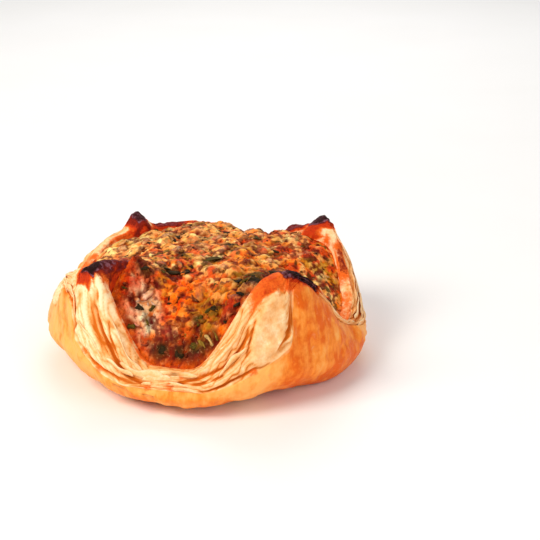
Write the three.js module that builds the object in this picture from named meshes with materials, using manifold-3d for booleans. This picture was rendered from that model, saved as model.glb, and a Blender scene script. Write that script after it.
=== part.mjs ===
// A chicken and leek pastry: a square of puff pastry cupped round a baked, lumpy cheese, chicken and leek
// filling. The four corners of the square stand up as broad petals, and the rim dips between them.
// Millimetres, +Z up. The pastry rests on its flat base at z = 0 and is centred on the Z axis.
// Angles are in degrees, anticlockwise from +X, and the front side faces -Y.
import * as THREE from "three";
import { mergeVertices } from "three/addons/utils/BufferGeometryUtils.js";
import Module from "manifold-3d";

// The four corner petals. at: angle of the tip. height and radius: the rim there, below the sharp peak.
// peak and peakWidth: the charred point on the tip. widest and widestHeight: the belly of the outer wall.
// foot: radius of the flat base. before and after: half width of the tip, clockwise and anticlockwise.
// skinFrom, skinTo and skinTop: the patch of smooth outer skin. skirt and skirtWidth: how the skin's edge
// climbs towards that patch.
const CORNERS = [
  { name: "front_left", at: 237, height: 43.2, radius: 50.5, peak: 3.0, peakWidth: 6.0, before: 2, after: 0,
    widest: 56.6, widestHeight: 14.5, foot: 39.5, skinFrom: 205, skinTo: 233, skinTop: 34, skirt: 12,
    skirtWidth: 25 },
  { name: "front_right", at: 316, height: 45.8, radius: 50.0, peak: 1.0, peakWidth: 5.0, before: 4, after: 4,
    widest: 57.4, widestHeight: 14.0, foot: 38.5, skinFrom: 317, skinTo: 341, skinTop: 44, skirt: 15,
    skirtWidth: 34 },
  { name: "back_right", at: 45, height: 36.5, radius: 51.0, peak: 5.5, peakWidth: 6.0, before: 6, after: 6,
    widest: 57.5, widestHeight: 15.0, foot: 42.0, skinFrom: 33, skinTo: 57, skinTop: 35, skirt: 9,
    skirtWidth: 25 },
  { name: "back_left", at: 138, height: 31.6, radius: 50.0, peak: 6.5, peakWidth: 4.7, before: 26, after: 13,
    widest: 57.0, widestHeight: 14.0, foot: 42.0, skinFrom: 124, skinTo: 150, skinTop: 32, skirt: 9,
    skirtWidth: 25 },
];

// The four sides between them, where the rim dips. level: half width of the bottom of the dip.
const SIDES = [
  { name: "front", at: 272, height: 15.2, radius: 50.0, level: 7, widest: 57.2, widestHeight: 7.8, foot: 42.5,
    skin: 10.3 },
  { name: "right", at: 1, height: 18.5, radius: 51.0, level: 2, widest: 57.7, widestHeight: 8.5, foot: 52.0,
    skin: 11.0 },
  { name: "back", at: 84, height: 26.6, radius: 49.0, level: 0, widest: 57.0, widestHeight: 10.0, foot: 44.0,
    skin: 14.0 },
  { name: "left", at: 181, height: 24.5, radius: 49.0, level: 3, widest: 57.0, widestHeight: 12.5, foot: 42.5,
    skin: 15.0 },
];

// Where the base swells out (or draws in) between the petals, by how much, and over what half angle.
const FOOT_LOBES = [
  { at: 222, out: -3.0, width: 13 },
  { at: 251, out: 4.5, width: 11 },
  { at: 289, out: 2.5, width: 9 },
  { at: 338, out: 3.5, width: 13 },
];

// The folded tip of each corner lies inwards over the filling, reaching this far and falling by this share.
// sink and sinkWidth: how much lower the filling lies beside it, and over what half angle.
const TONGUES = [
  { at: 235, reach: 15.0, width: 4.4, fall: 0.16, sink: 5.0, sinkWidth: 10 },
  { at: 316, reach: 3.0, width: 5.0, fall: 0.5, sink: 4.0, sinkWidth: 15 },
  { at: 45, reach: 8.0, width: 5.0, fall: 0.6, sink: 1.0, sinkWidth: 10 },
  { at: 138, reach: 4.0, width: 5.0, fall: 0.5, sink: 2.5, sinkWidth: 10 },
];

// The open layers of the cut edge, seen as ridges between grooves that run along the rim.
const GROOVES = [
  { across: 0.06, depth: 1.1, halfWidth: 0.07 },
  { across: 0.36, depth: 0.9, halfWidth: 0.08 },
  { across: 0.64, depth: 1.1, halfWidth: 0.09 },
  { across: 0.88, depth: 0.5, halfWidth: 0.06 },
];
const GROOVE_DRIFT = 0.06;
const SKIN_PLEATS = [
  { count: 5, depth: 0.45, phase: 0.4 },
  { count: 9, depth: 0.35, phase: 1.9 },
  { count: 17, depth: 0.25, phase: 0.9 },
];

const WALL_ROUNDNESS = 1.5;
const LIP_DEPTH = 2.6;
const LIP_FALL = 0.8;
const WALL_THICKNESS = 8.0;
const FLOOR_HEIGHT = 10.0;
const GAP = 0.65;

const DOME_HEIGHT = 36.6;
const DOME_FLATNESS = 2.9;
const FILL_BELOW_RIM = 1.4;
const FILL_BELOW_TIP = 0.12;

// Numbers of steps: round the pastry, and up each stretch of its section.
const STEPS_ROUND = 96;
const STEPS_TUCK = 5;
const STEPS_SKIN = 6;
const STEPS_LAYERS = 13;
const STEPS_LIP = 3;
const STEPS_INSIDE = 4;
const STEPS_FLOOR = 2;
const STEPS_DOME = 12;

// The filling's lumps and the pieces of leek and chicken that stand out of it.
const SEED = 20417;
const LUMPS = { count: 96, radius: [3.6, 6.2], height: [0.7, 1.9] };
const LEEK = { count: 40, length: [4.5, 9.0], width: [1.8, 3.0], thickness: 0.9, bend: 0.9, steps: 3 };
const CHICKEN = { count: 24, length: [5.5, 9.0], width: [4.0, 6.0], height: [1.8, 2.8] };
const PIECE_SINK = 0.35;
const EDGE_CLEARANCE = 1.2;
const GOLDEN_ANGLE = 137.508;

const COLOURS = { pastry: 0xe9a055, filling: 0xc07a35 };

const radians = THREE.MathUtils.degToRad;
const lerp = THREE.MathUtils.lerp;

// A smooth step from 0 to 1 as x goes from 0 to 1.
function ease(x) {
  return THREE.MathUtils.smoothstep(x, 0, 1);
}

// An angle difference brought into -180 to 180.
function turn(degrees) {
  return THREE.MathUtils.euclideanModulo(degrees + 180, 360) - 180;
}

// A bell of height 1 round an angle.
function bell(angle, at, width) {
  return Math.exp(-((turn(angle - at) / width) ** 2));
}

// A repeatable stream of numbers from 0 to 1.
function stream(seed) {
  let state = seed >>> 0;
  return () => {
    state = (Math.imul(state, 1664525) + 1013904223) >>> 0;
    return state / 4294967296;
  };
}

// The corner and side on either hand of an angle, and the angle from the corner as seen from it.
function sector(angle) {
  for (const corner of CORNERS) {
    for (const side of SIDES) {
      const span = turn(side.at - corner.at);
      const offset = turn(angle - corner.at) * Math.sign(span);
      if (Math.abs(span) < 70 && offset >= 0 && offset <= Math.abs(span)) {
        return { corner, side, offset, span: Math.abs(span), tip: span > 0 ? corner.after : corner.before };
      }
    }
  }
  throw new Error(`no sector at ${angle}`);
}

// A size that swings gently from the corner's value to the side's.
function gentle(angle, key) {
  const { corner, side, offset, span } = sector(angle);
  return lerp(corner[key], side[key], ease(offset / span));
}

// A size that keeps the corner's value over the tip and the side's over the bottom of the dip.
function flank(angle, key) {
  const { corner, side, offset, span, tip } = sector(angle);
  return lerp(corner[key], side[key], ease((offset - tip) / (span - side.level - tip)));
}

function footSwell(angle) {
  return FOOT_LOBES.reduce((sum, lobe) => sum + lobe.out * bell(angle, lobe.at, lobe.width), 0);
}

// The rim: its radius and height at an angle.
function rim(angle) {
  const peak = CORNERS.reduce((sum, c) => sum + c.peak * bell(angle, c.at, c.peakWidth), 0);
  return { r: flank(angle, "radius"), z: flank(angle, "height") + peak };
}

// The belly of the outer wall.
function belly(angle) {
  const swell = footSwell(angle);
  return { r: gentle(angle, "widest") + 0.15 * swell, z: gentle(angle, "widestHeight") - 0.3 * swell };
}

// The height where the smooth skin ends and the layered cut edge of the pastry begins.
function skinEdge(angle) {
  let height = 0;
  let share = 0;
  for (const side of SIDES) {
    const weight = Math.max(0, 1 - Math.abs(turn(angle - side.at)) / 45);
    height += side.skin * weight;
    share += weight;
  }
  height = share > 0 ? height / share : 12;
  for (const c of CORNERS) {
    const half = (c.skinTo - c.skinFrom) / 2;
    const offset = Math.abs(turn(angle - c.skinFrom - half));
    const petal = 1 - ease((offset - half + 2) / 4.5);
    const climb = Math.min(1, Math.max(0, 1 - (offset - half + 1) / c.skirtWidth));
    const crown = c.skinTop - 4 * (offset / half) ** 2;
    height += c.skirt * climb ** 1.5 * (1 - petal);
    height = lerp(height, crown, petal);
  }
  return Math.max(belly(angle).z + 1, Math.min(height, rim(angle).z - 1.5));
}

// The outer wall's radius at a height above the belly: a rounded curve that leans in to the rim.
function wallRadius(angle, height) {
  const top = rim(angle);
  const low = belly(angle);
  const up = Math.min(1, Math.max(0, (height - low.z) / (top.z - low.z)));
  return top.r + (low.r - top.r) * (1 - up ** WALL_ROUNDNESS) ** (1 / WALL_ROUNDNESS);
}

// How far the open layers stand in or out, across from the skin's edge (0) to the rim (1).
function layerRelief(angle, across) {
  const fade = 1 - ease((across - 0.85) / 0.15);
  let relief = 0;
  GROOVES.forEach((groove, i) => {
    const drift = GROOVE_DRIFT * Math.sin(radians(angle * (3 + i) + 80 * i));
    relief -= groove.depth * Math.exp(-(((across - groove.across - drift) / groove.halfWidth) ** 2));
  });
  return (relief + 0.35) * fade;
}

// Soft upright pleats in the skin, deepest halfway up it.
function skinRelief(angle, up) {
  const swell = Math.sin(Math.PI * up);
  return SKIN_PLEATS.reduce((sum, p) => sum + p.depth * Math.sin(radians(angle) * p.count + p.phase), 0) * swell;
}

function tongue(angle) {
  const reach = TONGUES.reduce((sum, t) => sum + t.reach * bell(angle, t.at, t.width), 0);
  const fall = TONGUES.reduce((sum, t) => sum + t.reach * t.fall * bell(angle, t.at, t.width), 0);
  return { reach, fall };
}

// Points of a cubic curve from a to d, without its last point.
function curvePoints(a, b, c, d, steps) {
  const curve = new THREE.CubicBezierCurve(a, b, c, d);
  return curve.getPoints(steps).slice(0, steps);
}

// The inner wall from the lip down to the edge of the floor, as radius and height.
function innerWall(angle) {
  const top = rim(angle);
  const { reach, fall } = tongue(angle);
  const lip = new THREE.Vector2(top.r - LIP_DEPTH - reach, top.z - LIP_FALL - fall);
  const low = new THREE.Vector2(top.r - WALL_THICKNESS - 0.6 * reach,
    Math.min(top.z - 9, top.z * 0.45) + 0.3 * FLOOR_HEIGHT);
  return new THREE.CubicBezierCurve(lip, lip.clone().add(new THREE.Vector2(-0.5, -3)),
    low.clone().add(new THREE.Vector2(2, 3)), low);
}

// The section of the pastry case at one angle, from the foot up the outside, over the lip and down inside.
function caseSection(angle) {
  const top = rim(angle);
  const low = belly(angle);
  const foot = gentle(angle, "foot") + footSwell(angle);
  const edge = skinEdge(angle);
  const rise = low.r - foot;
  const points = curvePoints(new THREE.Vector2(foot, 0), new THREE.Vector2(foot + 0.25 * rise, 0.06 * low.z),
    new THREE.Vector2(0.98 * low.r, 0.45 * low.z), new THREE.Vector2(low.r, low.z), STEPS_TUCK);
  for (let i = 0; i < STEPS_SKIN; i += 1) {
    const up = i / STEPS_SKIN;
    const z = lerp(low.z, edge, up);
    points.push(new THREE.Vector2(wallRadius(angle, z) + skinRelief(angle, up), z));
  }
  for (let i = 0; i < STEPS_LAYERS; i += 1) {
    const across = i / STEPS_LAYERS;
    const z = lerp(edge, top.z, across);
    points.push(new THREE.Vector2(wallRadius(angle, z) + layerRelief(angle, across), z));
  }
  const inside = innerWall(angle);
  const lip = inside.v0;
  const over = top.r - lip.x;
  points.push(...curvePoints(new THREE.Vector2(top.r, top.z), new THREE.Vector2(top.r - 0.3 * over, top.z),
    new THREE.Vector2(lip.x + 0.25 * over, lerp(lip.y, top.z, 0.45) + 0.3), lip, STEPS_LIP));
  points.push(...inside.getPoints(STEPS_INSIDE).slice(0, STEPS_INSIDE));
  for (let i = 0; i < STEPS_FLOOR; i += 1) {
    const share = 1 - i / STEPS_FLOOR;
    points.push(new THREE.Vector2(inside.v3.x * share, lerp(FLOOR_HEIGHT, inside.v3.y, share * share)));
  }
  return points;
}

// A closed mesh from one section per angle, with a point on the axis below the first and after the last.
function revolve(section, firstHeight, lastHeight) {
  const sections = [];
  for (let i = 0; i < STEPS_ROUND; i += 1) {
    sections.push(section((i / STEPS_ROUND) * 360));
  }
  const rows = sections[0].length;
  const positions = [0, 0, firstHeight];
  sections.forEach((points, i) => {
    const angle = radians((i / STEPS_ROUND) * 360);
    points.forEach((p) => positions.push(p.x * Math.cos(angle), p.x * Math.sin(angle), p.y));
  });
  positions.push(0, 0, lastHeight);
  const last = positions.length / 3 - 1;
  const index = [];
  const at = (i, row) => 1 + (i % STEPS_ROUND) * rows + row;
  for (let i = 0; i < STEPS_ROUND; i += 1) {
    index.push(0, at(i + 1, 0), at(i, 0));
    for (let row = 0; row < rows - 1; row += 1) {
      index.push(at(i, row), at(i + 1, row), at(i + 1, row + 1));
      index.push(at(i, row), at(i + 1, row + 1), at(i, row + 1));
    }
    index.push(at(i, rows - 1), at(i + 1, rows - 1), last);
  }
  const geometry = new THREE.BufferGeometry();
  geometry.setAttribute("position", new THREE.Float32BufferAttribute(positions, 3));
  geometry.setIndex(index);
  return geometry;
}

// The radial gap that keeps the filling clear of the wall where the wall runs aslant.
function clearance(angle) {
  const slant = (innerWall(angle + 1).v0.x - innerWall(angle - 1).v0.x) / (2 * radians(innerWall(angle).v0.x));
  return GAP * Math.hypot(1, slant);
}

// The radius of the filling's side at a height: the inner wall's there, less the gap.
function sideRadius(angle, height) {
  const points = innerWall(angle).getPoints(24);
  const below = points.findIndex((p) => p.y < height);
  if (below < 1) {
    return (below < 0 ? points[points.length - 1] : points[0]).x - clearance(angle);
  }
  const share = (points[below - 1].y - height) / (points[below - 1].y - points[below].y);
  return lerp(points[below - 1].x, points[below].x, share) - clearance(angle);
}

// Where the filling's top meets the inner wall, a little below the rim.
function fillEdge(angle) {
  const top = rim(angle);
  const height = top.z - FILL_BELOW_RIM - FILL_BELOW_TIP * (top.z - SIDES[0].height);
  const sink = TONGUES.reduce((sum, t) => sum + t.sink * bell(angle, t.at, t.sinkWidth), 0);
  const z = Math.min(height, innerWall(angle).v0.y) - sink;
  return { r: sideRadius(angle, z), z };
}

// Lumps spread evenly over the filling, each with its own width and height.
function makeLumps() {
  const draw = stream(SEED);
  const lumps = [];
  for (let i = 0; i < LUMPS.count; i += 1) {
    const r = 47 * Math.sqrt((i + 0.5) / LUMPS.count);
    const angle = radians(i * GOLDEN_ANGLE);
    const radius = lerp(...LUMPS.radius, draw());
    const height = lerp(...LUMPS.height, draw());
    lumps.push({ x: r * Math.cos(angle), y: r * Math.sin(angle), radius, height });
  }
  return lumps;
}
const lumps = makeLumps();

// The filling's top: a broad dome that falls to its edge, with lumps that fade out near the edge.
function domeHeight(angle, r) {
  const edge = fillEdge(angle);
  const out = Math.min(1, r / edge.r);
  const x = r * Math.cos(radians(angle));
  const y = r * Math.sin(radians(angle));
  const dome = lerp(edge.z, DOME_HEIGHT, 1 - out ** DOME_FLATNESS);
  const bumps = lumps.reduce((sum, lump) => {
    const d2 = ((x - lump.x) ** 2 + (y - lump.y) ** 2) / lump.radius ** 2;
    return d2 < 1 ? Math.max(sum, lump.height * (1 - d2)) : sum;
  }, 0);
  return dome + bumps * (1 - ease((out - 0.86) / 0.14));
}

// The section of the filling at one angle, from its underside up the wall and in over the top.
function fillingSection(angle) {
  const edge = fillEdge(angle);
  const corner = innerWall(angle).v3;
  const points = [];
  for (let i = STEPS_FLOOR - 1; i >= 0; i -= 1) {
    const share = 1 - i / STEPS_FLOOR;
    const z = lerp(FLOOR_HEIGHT, corner.y, share * share) + GAP;
    points.push(new THREE.Vector2(sideRadius(angle, corner.y) * share, z));
  }
  for (let i = 1; i < STEPS_INSIDE; i += 1) {
    const z = lerp(corner.y + GAP, edge.z, i / STEPS_INSIDE);
    points.push(new THREE.Vector2(sideRadius(angle, z), z));
  }
  for (let i = STEPS_DOME; i > 0; i -= 1) {
    const r = edge.r * (i / STEPS_DOME) ** 0.9;
    points.push(new THREE.Vector2(r, domeHeight(angle, r)));
  }
  return points;
}

// A place on the filling's top, with the slope's upward direction there.
function onTop(share, angle) {
  const edge = fillEdge(angle);
  const at = (a, r) => new THREE.Vector3(r * Math.cos(radians(a)), r * Math.sin(radians(a)), domeHeight(a, r));
  const r = share * edge.r;
  const place = at(angle, r);
  const outward = at(angle, r + 1.5).sub(at(angle, Math.max(0, r - 1.5)));
  const sideways = new THREE.Vector3(-Math.sin(radians(angle)), Math.cos(radians(angle)), 0);
  const normal = outward.cross(sideways).normalize();
  return { place, normal: normal.z < 0 ? normal.negate() : normal, room: edge.r - r };
}

// Lays a piece made flat at the origin onto the filling, turned about the slope's normal.
function lay(geometry, spot, heading) {
  const tilt = new THREE.Quaternion().setFromUnitVectors(new THREE.Vector3(0, 0, 1), spot.normal);
  const spin = new THREE.Quaternion().setFromAxisAngle(new THREE.Vector3(0, 0, 1), heading);
  geometry.applyQuaternion(tilt.multiply(spin));
  geometry.translate(spot.place.x, spot.place.y, spot.place.z);
  return geometry;
}

// A strip of leek: a flat box bent into an arch.
function leekStrip(length, width) {
  const strip = new THREE.BoxGeometry(length, width, LEEK.thickness, LEEK.steps, 1, 1);
  const p = strip.attributes.position;
  for (let i = 0; i < p.count; i += 1) {
    const along = (2 * p.getX(i)) / length;
    p.setZ(i, p.getZ(i) + LEEK.bend * (0.5 - along * along) + 0.15);
    p.setY(i, p.getY(i) * (1 - 0.35 * along * along));
  }
  return strip;
}

// A torn chunk of chicken: a low-sided ball, pressed out of round.
function chickenChunk(length, width, height, draw) {
  const chunk = new THREE.SphereGeometry(1, 8, 4);
  const p = chunk.attributes.position;
  const twist = 2 * Math.PI * draw();
  for (let i = 0; i < p.count; i += 1) {
    const v = new THREE.Vector3().fromBufferAttribute(p, i);
    const swell = 1 + 0.12 * Math.sin(3 * v.x + twist) * Math.cos(3 * v.y + twist);
    p.setXYZ(i, (v.x * swell * length) / 2, (v.y * swell * width) / 2, v.z * swell * height);
  }
  return chunk;
}

// The pieces that stand out of the filling, spread evenly, largest first, and clear of the pastry's wall.
function fillingPieces() {
  const draw = stream(SEED + 1);
  const pieces = [];
  const spread = (count, turnBy, make, size) => {
    for (let i = 0; i < count; i += 1) {
      const share = Math.sqrt((i + 0.5) / count);
      const angle = THREE.MathUtils.euclideanModulo(i * GOLDEN_ANGLE + turnBy, 360);
      const length = lerp(...size.length, draw());
      const width = lerp(...size.width, draw());
      const heading = 2 * Math.PI * draw();
      const piece = make(length, width);
      const spot = onTop(share, angle);
      if (spot.room > length / 2 + EDGE_CLEARANCE) {
        spot.place.addScaledVector(spot.normal, -PIECE_SINK);
        pieces.push(lay(piece, spot, heading));
      }
    }
  };
  spread(CHICKEN.count, 40, (l, w) => chickenChunk(l, w, lerp(...CHICKEN.height, draw()), draw), CHICKEN);
  spread(LEEK.count, 0, leekStrip, LEEK);
  return pieces;
}

const wasm = await Module();
wasm.setup();

// A closed mesh as a solid that can be joined.
function toSolid(geometry) {
  const bare = geometry.clone();
  bare.deleteAttribute("normal");
  bare.deleteAttribute("uv");
  const merged = mergeVertices(bare, 1e-4);
  return new wasm.Manifold(new wasm.Mesh({
    numProp: 3,
    vertProperties: new Float32Array(merged.attributes.position.array),
    triVerts: new Uint32Array(merged.index.array),
  }));
}

function toGeometry(solid) {
  const mesh = solid.getMesh();
  const geometry = new THREE.BufferGeometry();
  geometry.setAttribute("position", new THREE.BufferAttribute(mesh.vertProperties, mesh.numProp));
  geometry.setIndex(new THREE.BufferAttribute(mesh.triVerts, 1));
  return geometry;
}

function makeCase() {
  return revolve(caseSection, 0, FLOOR_HEIGHT);
}

// The filling in one piece. Small hollows sealed under its pieces are filled by keeping the outer shell alone.
function makeFilling() {
  let filling = toSolid(revolve(fillingSection, FLOOR_HEIGHT + GAP, domeHeight(0, 0)));
  for (const piece of fillingPieces()) {
    filling = filling.add(toSolid(piece));
  }
  const largest = filling.decompose().reduce((a, b) => (b.volume() > a.volume() ? b : a));
  return toGeometry(largest);
}

function addPart(group, name, geometry, colour, roughness) {
  geometry.computeVertexNormals();
  const material = new THREE.MeshStandardMaterial({ color: colour, roughness, metalness: 0 });
  const mesh = new THREE.Mesh(geometry, material);
  mesh.name = name;
  group.add(mesh);
}

const group = new THREE.Group();
const shell = makeCase();
shell.computeBoundingBox();
const middle = shell.boundingBox.getCenter(new THREE.Vector3());
const filling = makeFilling();
shell.translate(-middle.x, -middle.y, 0);
filling.translate(-middle.x, -middle.y, 0);
addPart(group, "pastry_case", shell, COLOURS.pastry, 0.6);
addPart(group, "leek_chicken_filling", filling, COLOURS.filling, 0.45);

export default group;
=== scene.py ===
"""A chicken and leek pastry, dressed round the frame's solids.

Sizes are in millimetres and angles in degrees anticlockwise from +X, until a mesh is written in metres.
The pastry case repeats the frame's own formulas on a finer grid and adds its open layers, flakes and
browning. The filling repeats the frame's dome, lumps and pieces and adds its crust, crumbs and colours.
"""

import logging
import math
from dataclasses import dataclass
from enum import Enum
from typing import Iterator, Optional, Sequence

import bpy
import numpy as np
from mathutils import Matrix, Vector


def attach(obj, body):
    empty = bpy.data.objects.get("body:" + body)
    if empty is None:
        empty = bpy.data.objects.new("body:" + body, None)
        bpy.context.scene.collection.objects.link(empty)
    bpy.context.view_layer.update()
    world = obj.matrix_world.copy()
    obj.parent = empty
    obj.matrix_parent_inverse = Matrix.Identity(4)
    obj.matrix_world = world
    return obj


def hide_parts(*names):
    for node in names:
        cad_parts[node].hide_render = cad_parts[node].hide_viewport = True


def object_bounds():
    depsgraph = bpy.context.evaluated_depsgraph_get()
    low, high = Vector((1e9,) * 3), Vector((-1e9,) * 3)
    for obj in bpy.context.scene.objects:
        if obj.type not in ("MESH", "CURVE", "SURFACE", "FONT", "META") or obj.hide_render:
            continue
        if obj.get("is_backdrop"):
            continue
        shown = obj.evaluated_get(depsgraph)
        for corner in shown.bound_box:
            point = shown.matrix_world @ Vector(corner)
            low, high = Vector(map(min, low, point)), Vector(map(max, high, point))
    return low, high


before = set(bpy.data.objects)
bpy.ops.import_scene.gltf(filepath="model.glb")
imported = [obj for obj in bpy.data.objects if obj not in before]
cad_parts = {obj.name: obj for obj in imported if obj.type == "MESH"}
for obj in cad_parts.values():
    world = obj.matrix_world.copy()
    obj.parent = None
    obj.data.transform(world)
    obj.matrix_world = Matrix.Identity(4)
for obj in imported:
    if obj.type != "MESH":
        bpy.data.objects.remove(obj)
cad_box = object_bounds()

log = logging.getLogger("pastry")
Array = np.ndarray
Path = Sequence[tuple[float, float]]
Socket = bpy.types.NodeSocket
Material = bpy.types.Material
Thing = bpy.types.Object
Range = tuple[float, float]
Pair = tuple[Array, Array]
Named = dict[str, Array]
Triples = Sequence[tuple[float, float, float]]
Dice = np.random.Generator

MM = 0.001
FULL_TURN = 360.0
GOLDEN_ANGLE = 137.508
BODY = "root"
CASE_NODE = "pastry_case"
FILLING_NODE = "leek_chicken_filling"
UNROLL_RADIUS = 54.0
GRAIN_RADIUS = 7.0


def ease(x: Array, start: float = 0.0, width: float = 1.0) -> Array:
    """A smooth step from 0 to 1 over a width from a start: three x squared less two x cubed."""
    x = np.clip((x - start) / width, 0.0, 1.0)
    return x * x * (3.0 - 2.0 * x)


def fall(x: Array, start: float = 0.0, width: float = 1.0) -> Array:
    """A smooth step from 1 down to 0 over a width from a start."""
    return 1.0 - ease(x, start, width)


def spaced(count: int, end: float = 1.0) -> Array:
    """Evenly spaced numbers from 0 up to an end, which is left out."""
    return np.linspace(0.0, end, count, endpoint=False)


def turn(degrees: Array) -> Array:
    """An angle difference brought into -180 to 180."""
    return (np.asarray(degrees, float) + 180.0) % FULL_TURN - 180.0


def bell(angle: Array, at: float, width: float) -> Array:
    """A bell of height 1 round an angle: e to the minus square of the distance over the width."""
    return np.exp(-((turn(angle - at) / width) ** 2))


def lerp(a: Array, b: Array, share: Array) -> Array:
    """The value a share of the way from a to b."""
    return a + (b - a) * share


def unit(vectors: Array) -> Array:
    """Vectors of length 1 along the last axis."""
    return vectors / np.maximum(np.linalg.norm(vectors, axis=-1, keepdims=True), 1e-9)


def linear(code: str) -> tuple[float, float, float, float]:
    """A colour written as #RRGGBB, as the linear red, green, blue and alpha that a shader takes."""
    values = [int(code[i:i + 2], 16) / 255.0 for i in (1, 3, 5)]
    red, green, blue = (v / 12.92 if v <= 0.04045 else ((v + 0.055) / 1.055) ** 2.4 for v in values)
    return red, green, blue, 1.0


def unroll(angle: Array, height: Array) -> Array:
    """Places on the wall laid out flat, in millimetres along it and up."""
    return np.stack(np.broadcast_arrays(np.radians(angle) * UNROLL_RADIUS, height), axis=-1)


def drum(angle: Array, radius: float, height: Array) -> Array:
    """Places round a drum of a radius, so that noise over them meets itself after a full turn."""
    theta = np.radians(angle)
    return np.stack(np.broadcast_arrays(np.cos(theta) * radius, np.sin(theta) * radius, height), axis=-1)


def scatter(place: Array, seed: int) -> Array:
    """A repeatable number from 0 to 1 for each whole-number place: its parts are multiplied, mixed and cut.

    Args:
        place: whole numbers, with x, y and z on the last axis.
        seed: picks another set of numbers.
    """
    parts = place.astype(np.int64).astype(np.uint32)
    factors = np.array([374761393, 668265263, 2246822519], np.uint32)
    mixed = (parts * factors).sum(axis=-1, dtype=np.uint32) + np.uint32((seed * 3266489917) % 2**32)
    mixed = (mixed ^ (mixed >> np.uint32(15))) * np.uint32(2246822519)
    mixed = (mixed ^ (mixed >> np.uint32(13))) * np.uint32(3266489917)
    mixed = mixed ^ (mixed >> np.uint32(16))
    return mixed.astype(float) / 2**32


def cloud(points: Array, size: float, seed: int, octaves: int = 2) -> Array:
    """Soft noise from about -1 to 1: random numbers on a lattice, eased between its corners.

    Args:
        points: places in millimetres, with x, y and z on the last axis.
        size: the width of the largest blots.
        seed: picks another pattern.
        octaves: how many times finer copies at half the size and strength are added.
    """
    total = np.zeros(points.shape[:-1])
    weight = 1.0
    for octave in range(octaves):
        scaled = points / size * 2.0**octave + 31.7 * octave
        cell = np.floor(scaled)
        inside = ease(scaled - cell)
        value = np.zeros(points.shape[:-1])
        for corner in np.ndindex(2, 2, 2):
            share = np.prod(np.where(np.array(corner) == 1, inside, 1.0 - inside), axis=-1)
            value += share * scatter(cell + np.array(corner), seed + octave)
        total += weight * (2.0 * value - 1.0)
        weight *= 0.5
    return total * 1.15


@dataclass
class Cells:
    """The nearest lump to each point: how far its middle is, and its number."""

    near: Array
    number: Array

    def caps(self, reach: float) -> Array:
        """A half-round cap of height 1 over each lump's middle, down to 0 at its reach."""
        return np.sqrt(np.clip(1.0 - (self.near / reach) ** 2, 0.0, 1.0))


def cells(points: Array, size: float, seed: int) -> Cells:
    """Finds the nearest of many scattered middles, one in each cube of a lattice.

    Args:
        points: places in millimetres, with x, y and z on the last axis.
        size: the width of a cube, which is about the width of a lump.
        seed: picks another scatter.

    Returns:
        Distances as shares of the size, and a random number from 0 to 1 that belongs to the nearest lump.
    """
    scaled = points / size
    home = np.floor(scaled)
    near = np.full(points.shape[:-1], 9.0)
    number = np.zeros(points.shape[:-1])
    for step in np.ndindex(3, 3, 3):
        cube = home + np.array(step) - 1.0
        middle = cube + np.stack([scatter(cube, seed + k) for k in range(3)], axis=-1)
        distance = np.linalg.norm(scaled - middle, axis=-1)
        number = np.where(distance < near, scatter(cube, seed + 7), number)
        near = np.minimum(near, distance)
    return Cells(near, number)


@dataclass(frozen=True)
class Corner:
    """One petal of the case: its tip, belly, foot and patch of smooth skin, as in the frame's solid."""

    at: float
    height: float
    radius: float
    peak: float
    peak_width: float
    before: float
    after: float
    widest: float
    widest_height: float
    foot: float
    skin_from: float
    skin_to: float
    skin_top: float
    skirt: float
    skirt_width: float


@dataclass(frozen=True)
class Side:
    """One dip of the rim between two petals, as in the frame's solid."""

    at: float
    height: float
    radius: float
    level: float
    widest: float
    widest_height: float
    foot: float
    skin: float


@dataclass(frozen=True)
class Tongue:
    """The folded tip of a petal, which lies inwards over the filling."""

    at: float
    reach: float
    width: float
    fall: float
    sink: float
    sink_width: float


FRONT_LEFT = Corner(237, 43.2, 50.5, 3.0, 6.0, 2, 0, 56.6, 14.5, 39.5, 205, 233, 34, 12, 25)
FRONT_RIGHT = Corner(316, 45.8, 50.0, 1.0, 5.0, 4, 4, 57.4, 14.0, 38.5, 317, 341, 44, 15, 34)
BACK_RIGHT = Corner(45, 36.5, 51.0, 5.5, 6.0, 6, 6, 57.5, 15.0, 42.0, 33, 57, 35, 9, 25)
BACK_LEFT = Corner(138, 31.6, 50.0, 6.5, 4.7, 26, 13, 57.0, 14.0, 42.0, 124, 150, 32, 9, 25)
CORNERS = (FRONT_LEFT, FRONT_RIGHT, BACK_RIGHT, BACK_LEFT)

FRONT = Side(272, 15.2, 50.0, 7, 57.2, 7.8, 42.5, 10.3)
RIGHT = Side(1, 18.5, 51.0, 2, 57.7, 8.5, 52.0, 11.0)
BACK = Side(84, 26.6, 49.0, 0, 57.0, 10.0, 44.0, 14.0)
LEFT = Side(181, 24.5, 49.0, 3, 57.0, 12.5, 42.5, 15.0)
SIDES = (FRONT, RIGHT, BACK, LEFT)

TONGUES = (
    Tongue(235, 15.0, 4.4, 0.16, 5.0, 10),
    Tongue(316, 3.0, 5.0, 0.5, 4.0, 15),
    Tongue(45, 8.0, 5.0, 0.6, 1.0, 10),
    Tongue(138, 4.0, 5.0, 0.5, 2.5, 10),
)


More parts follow.
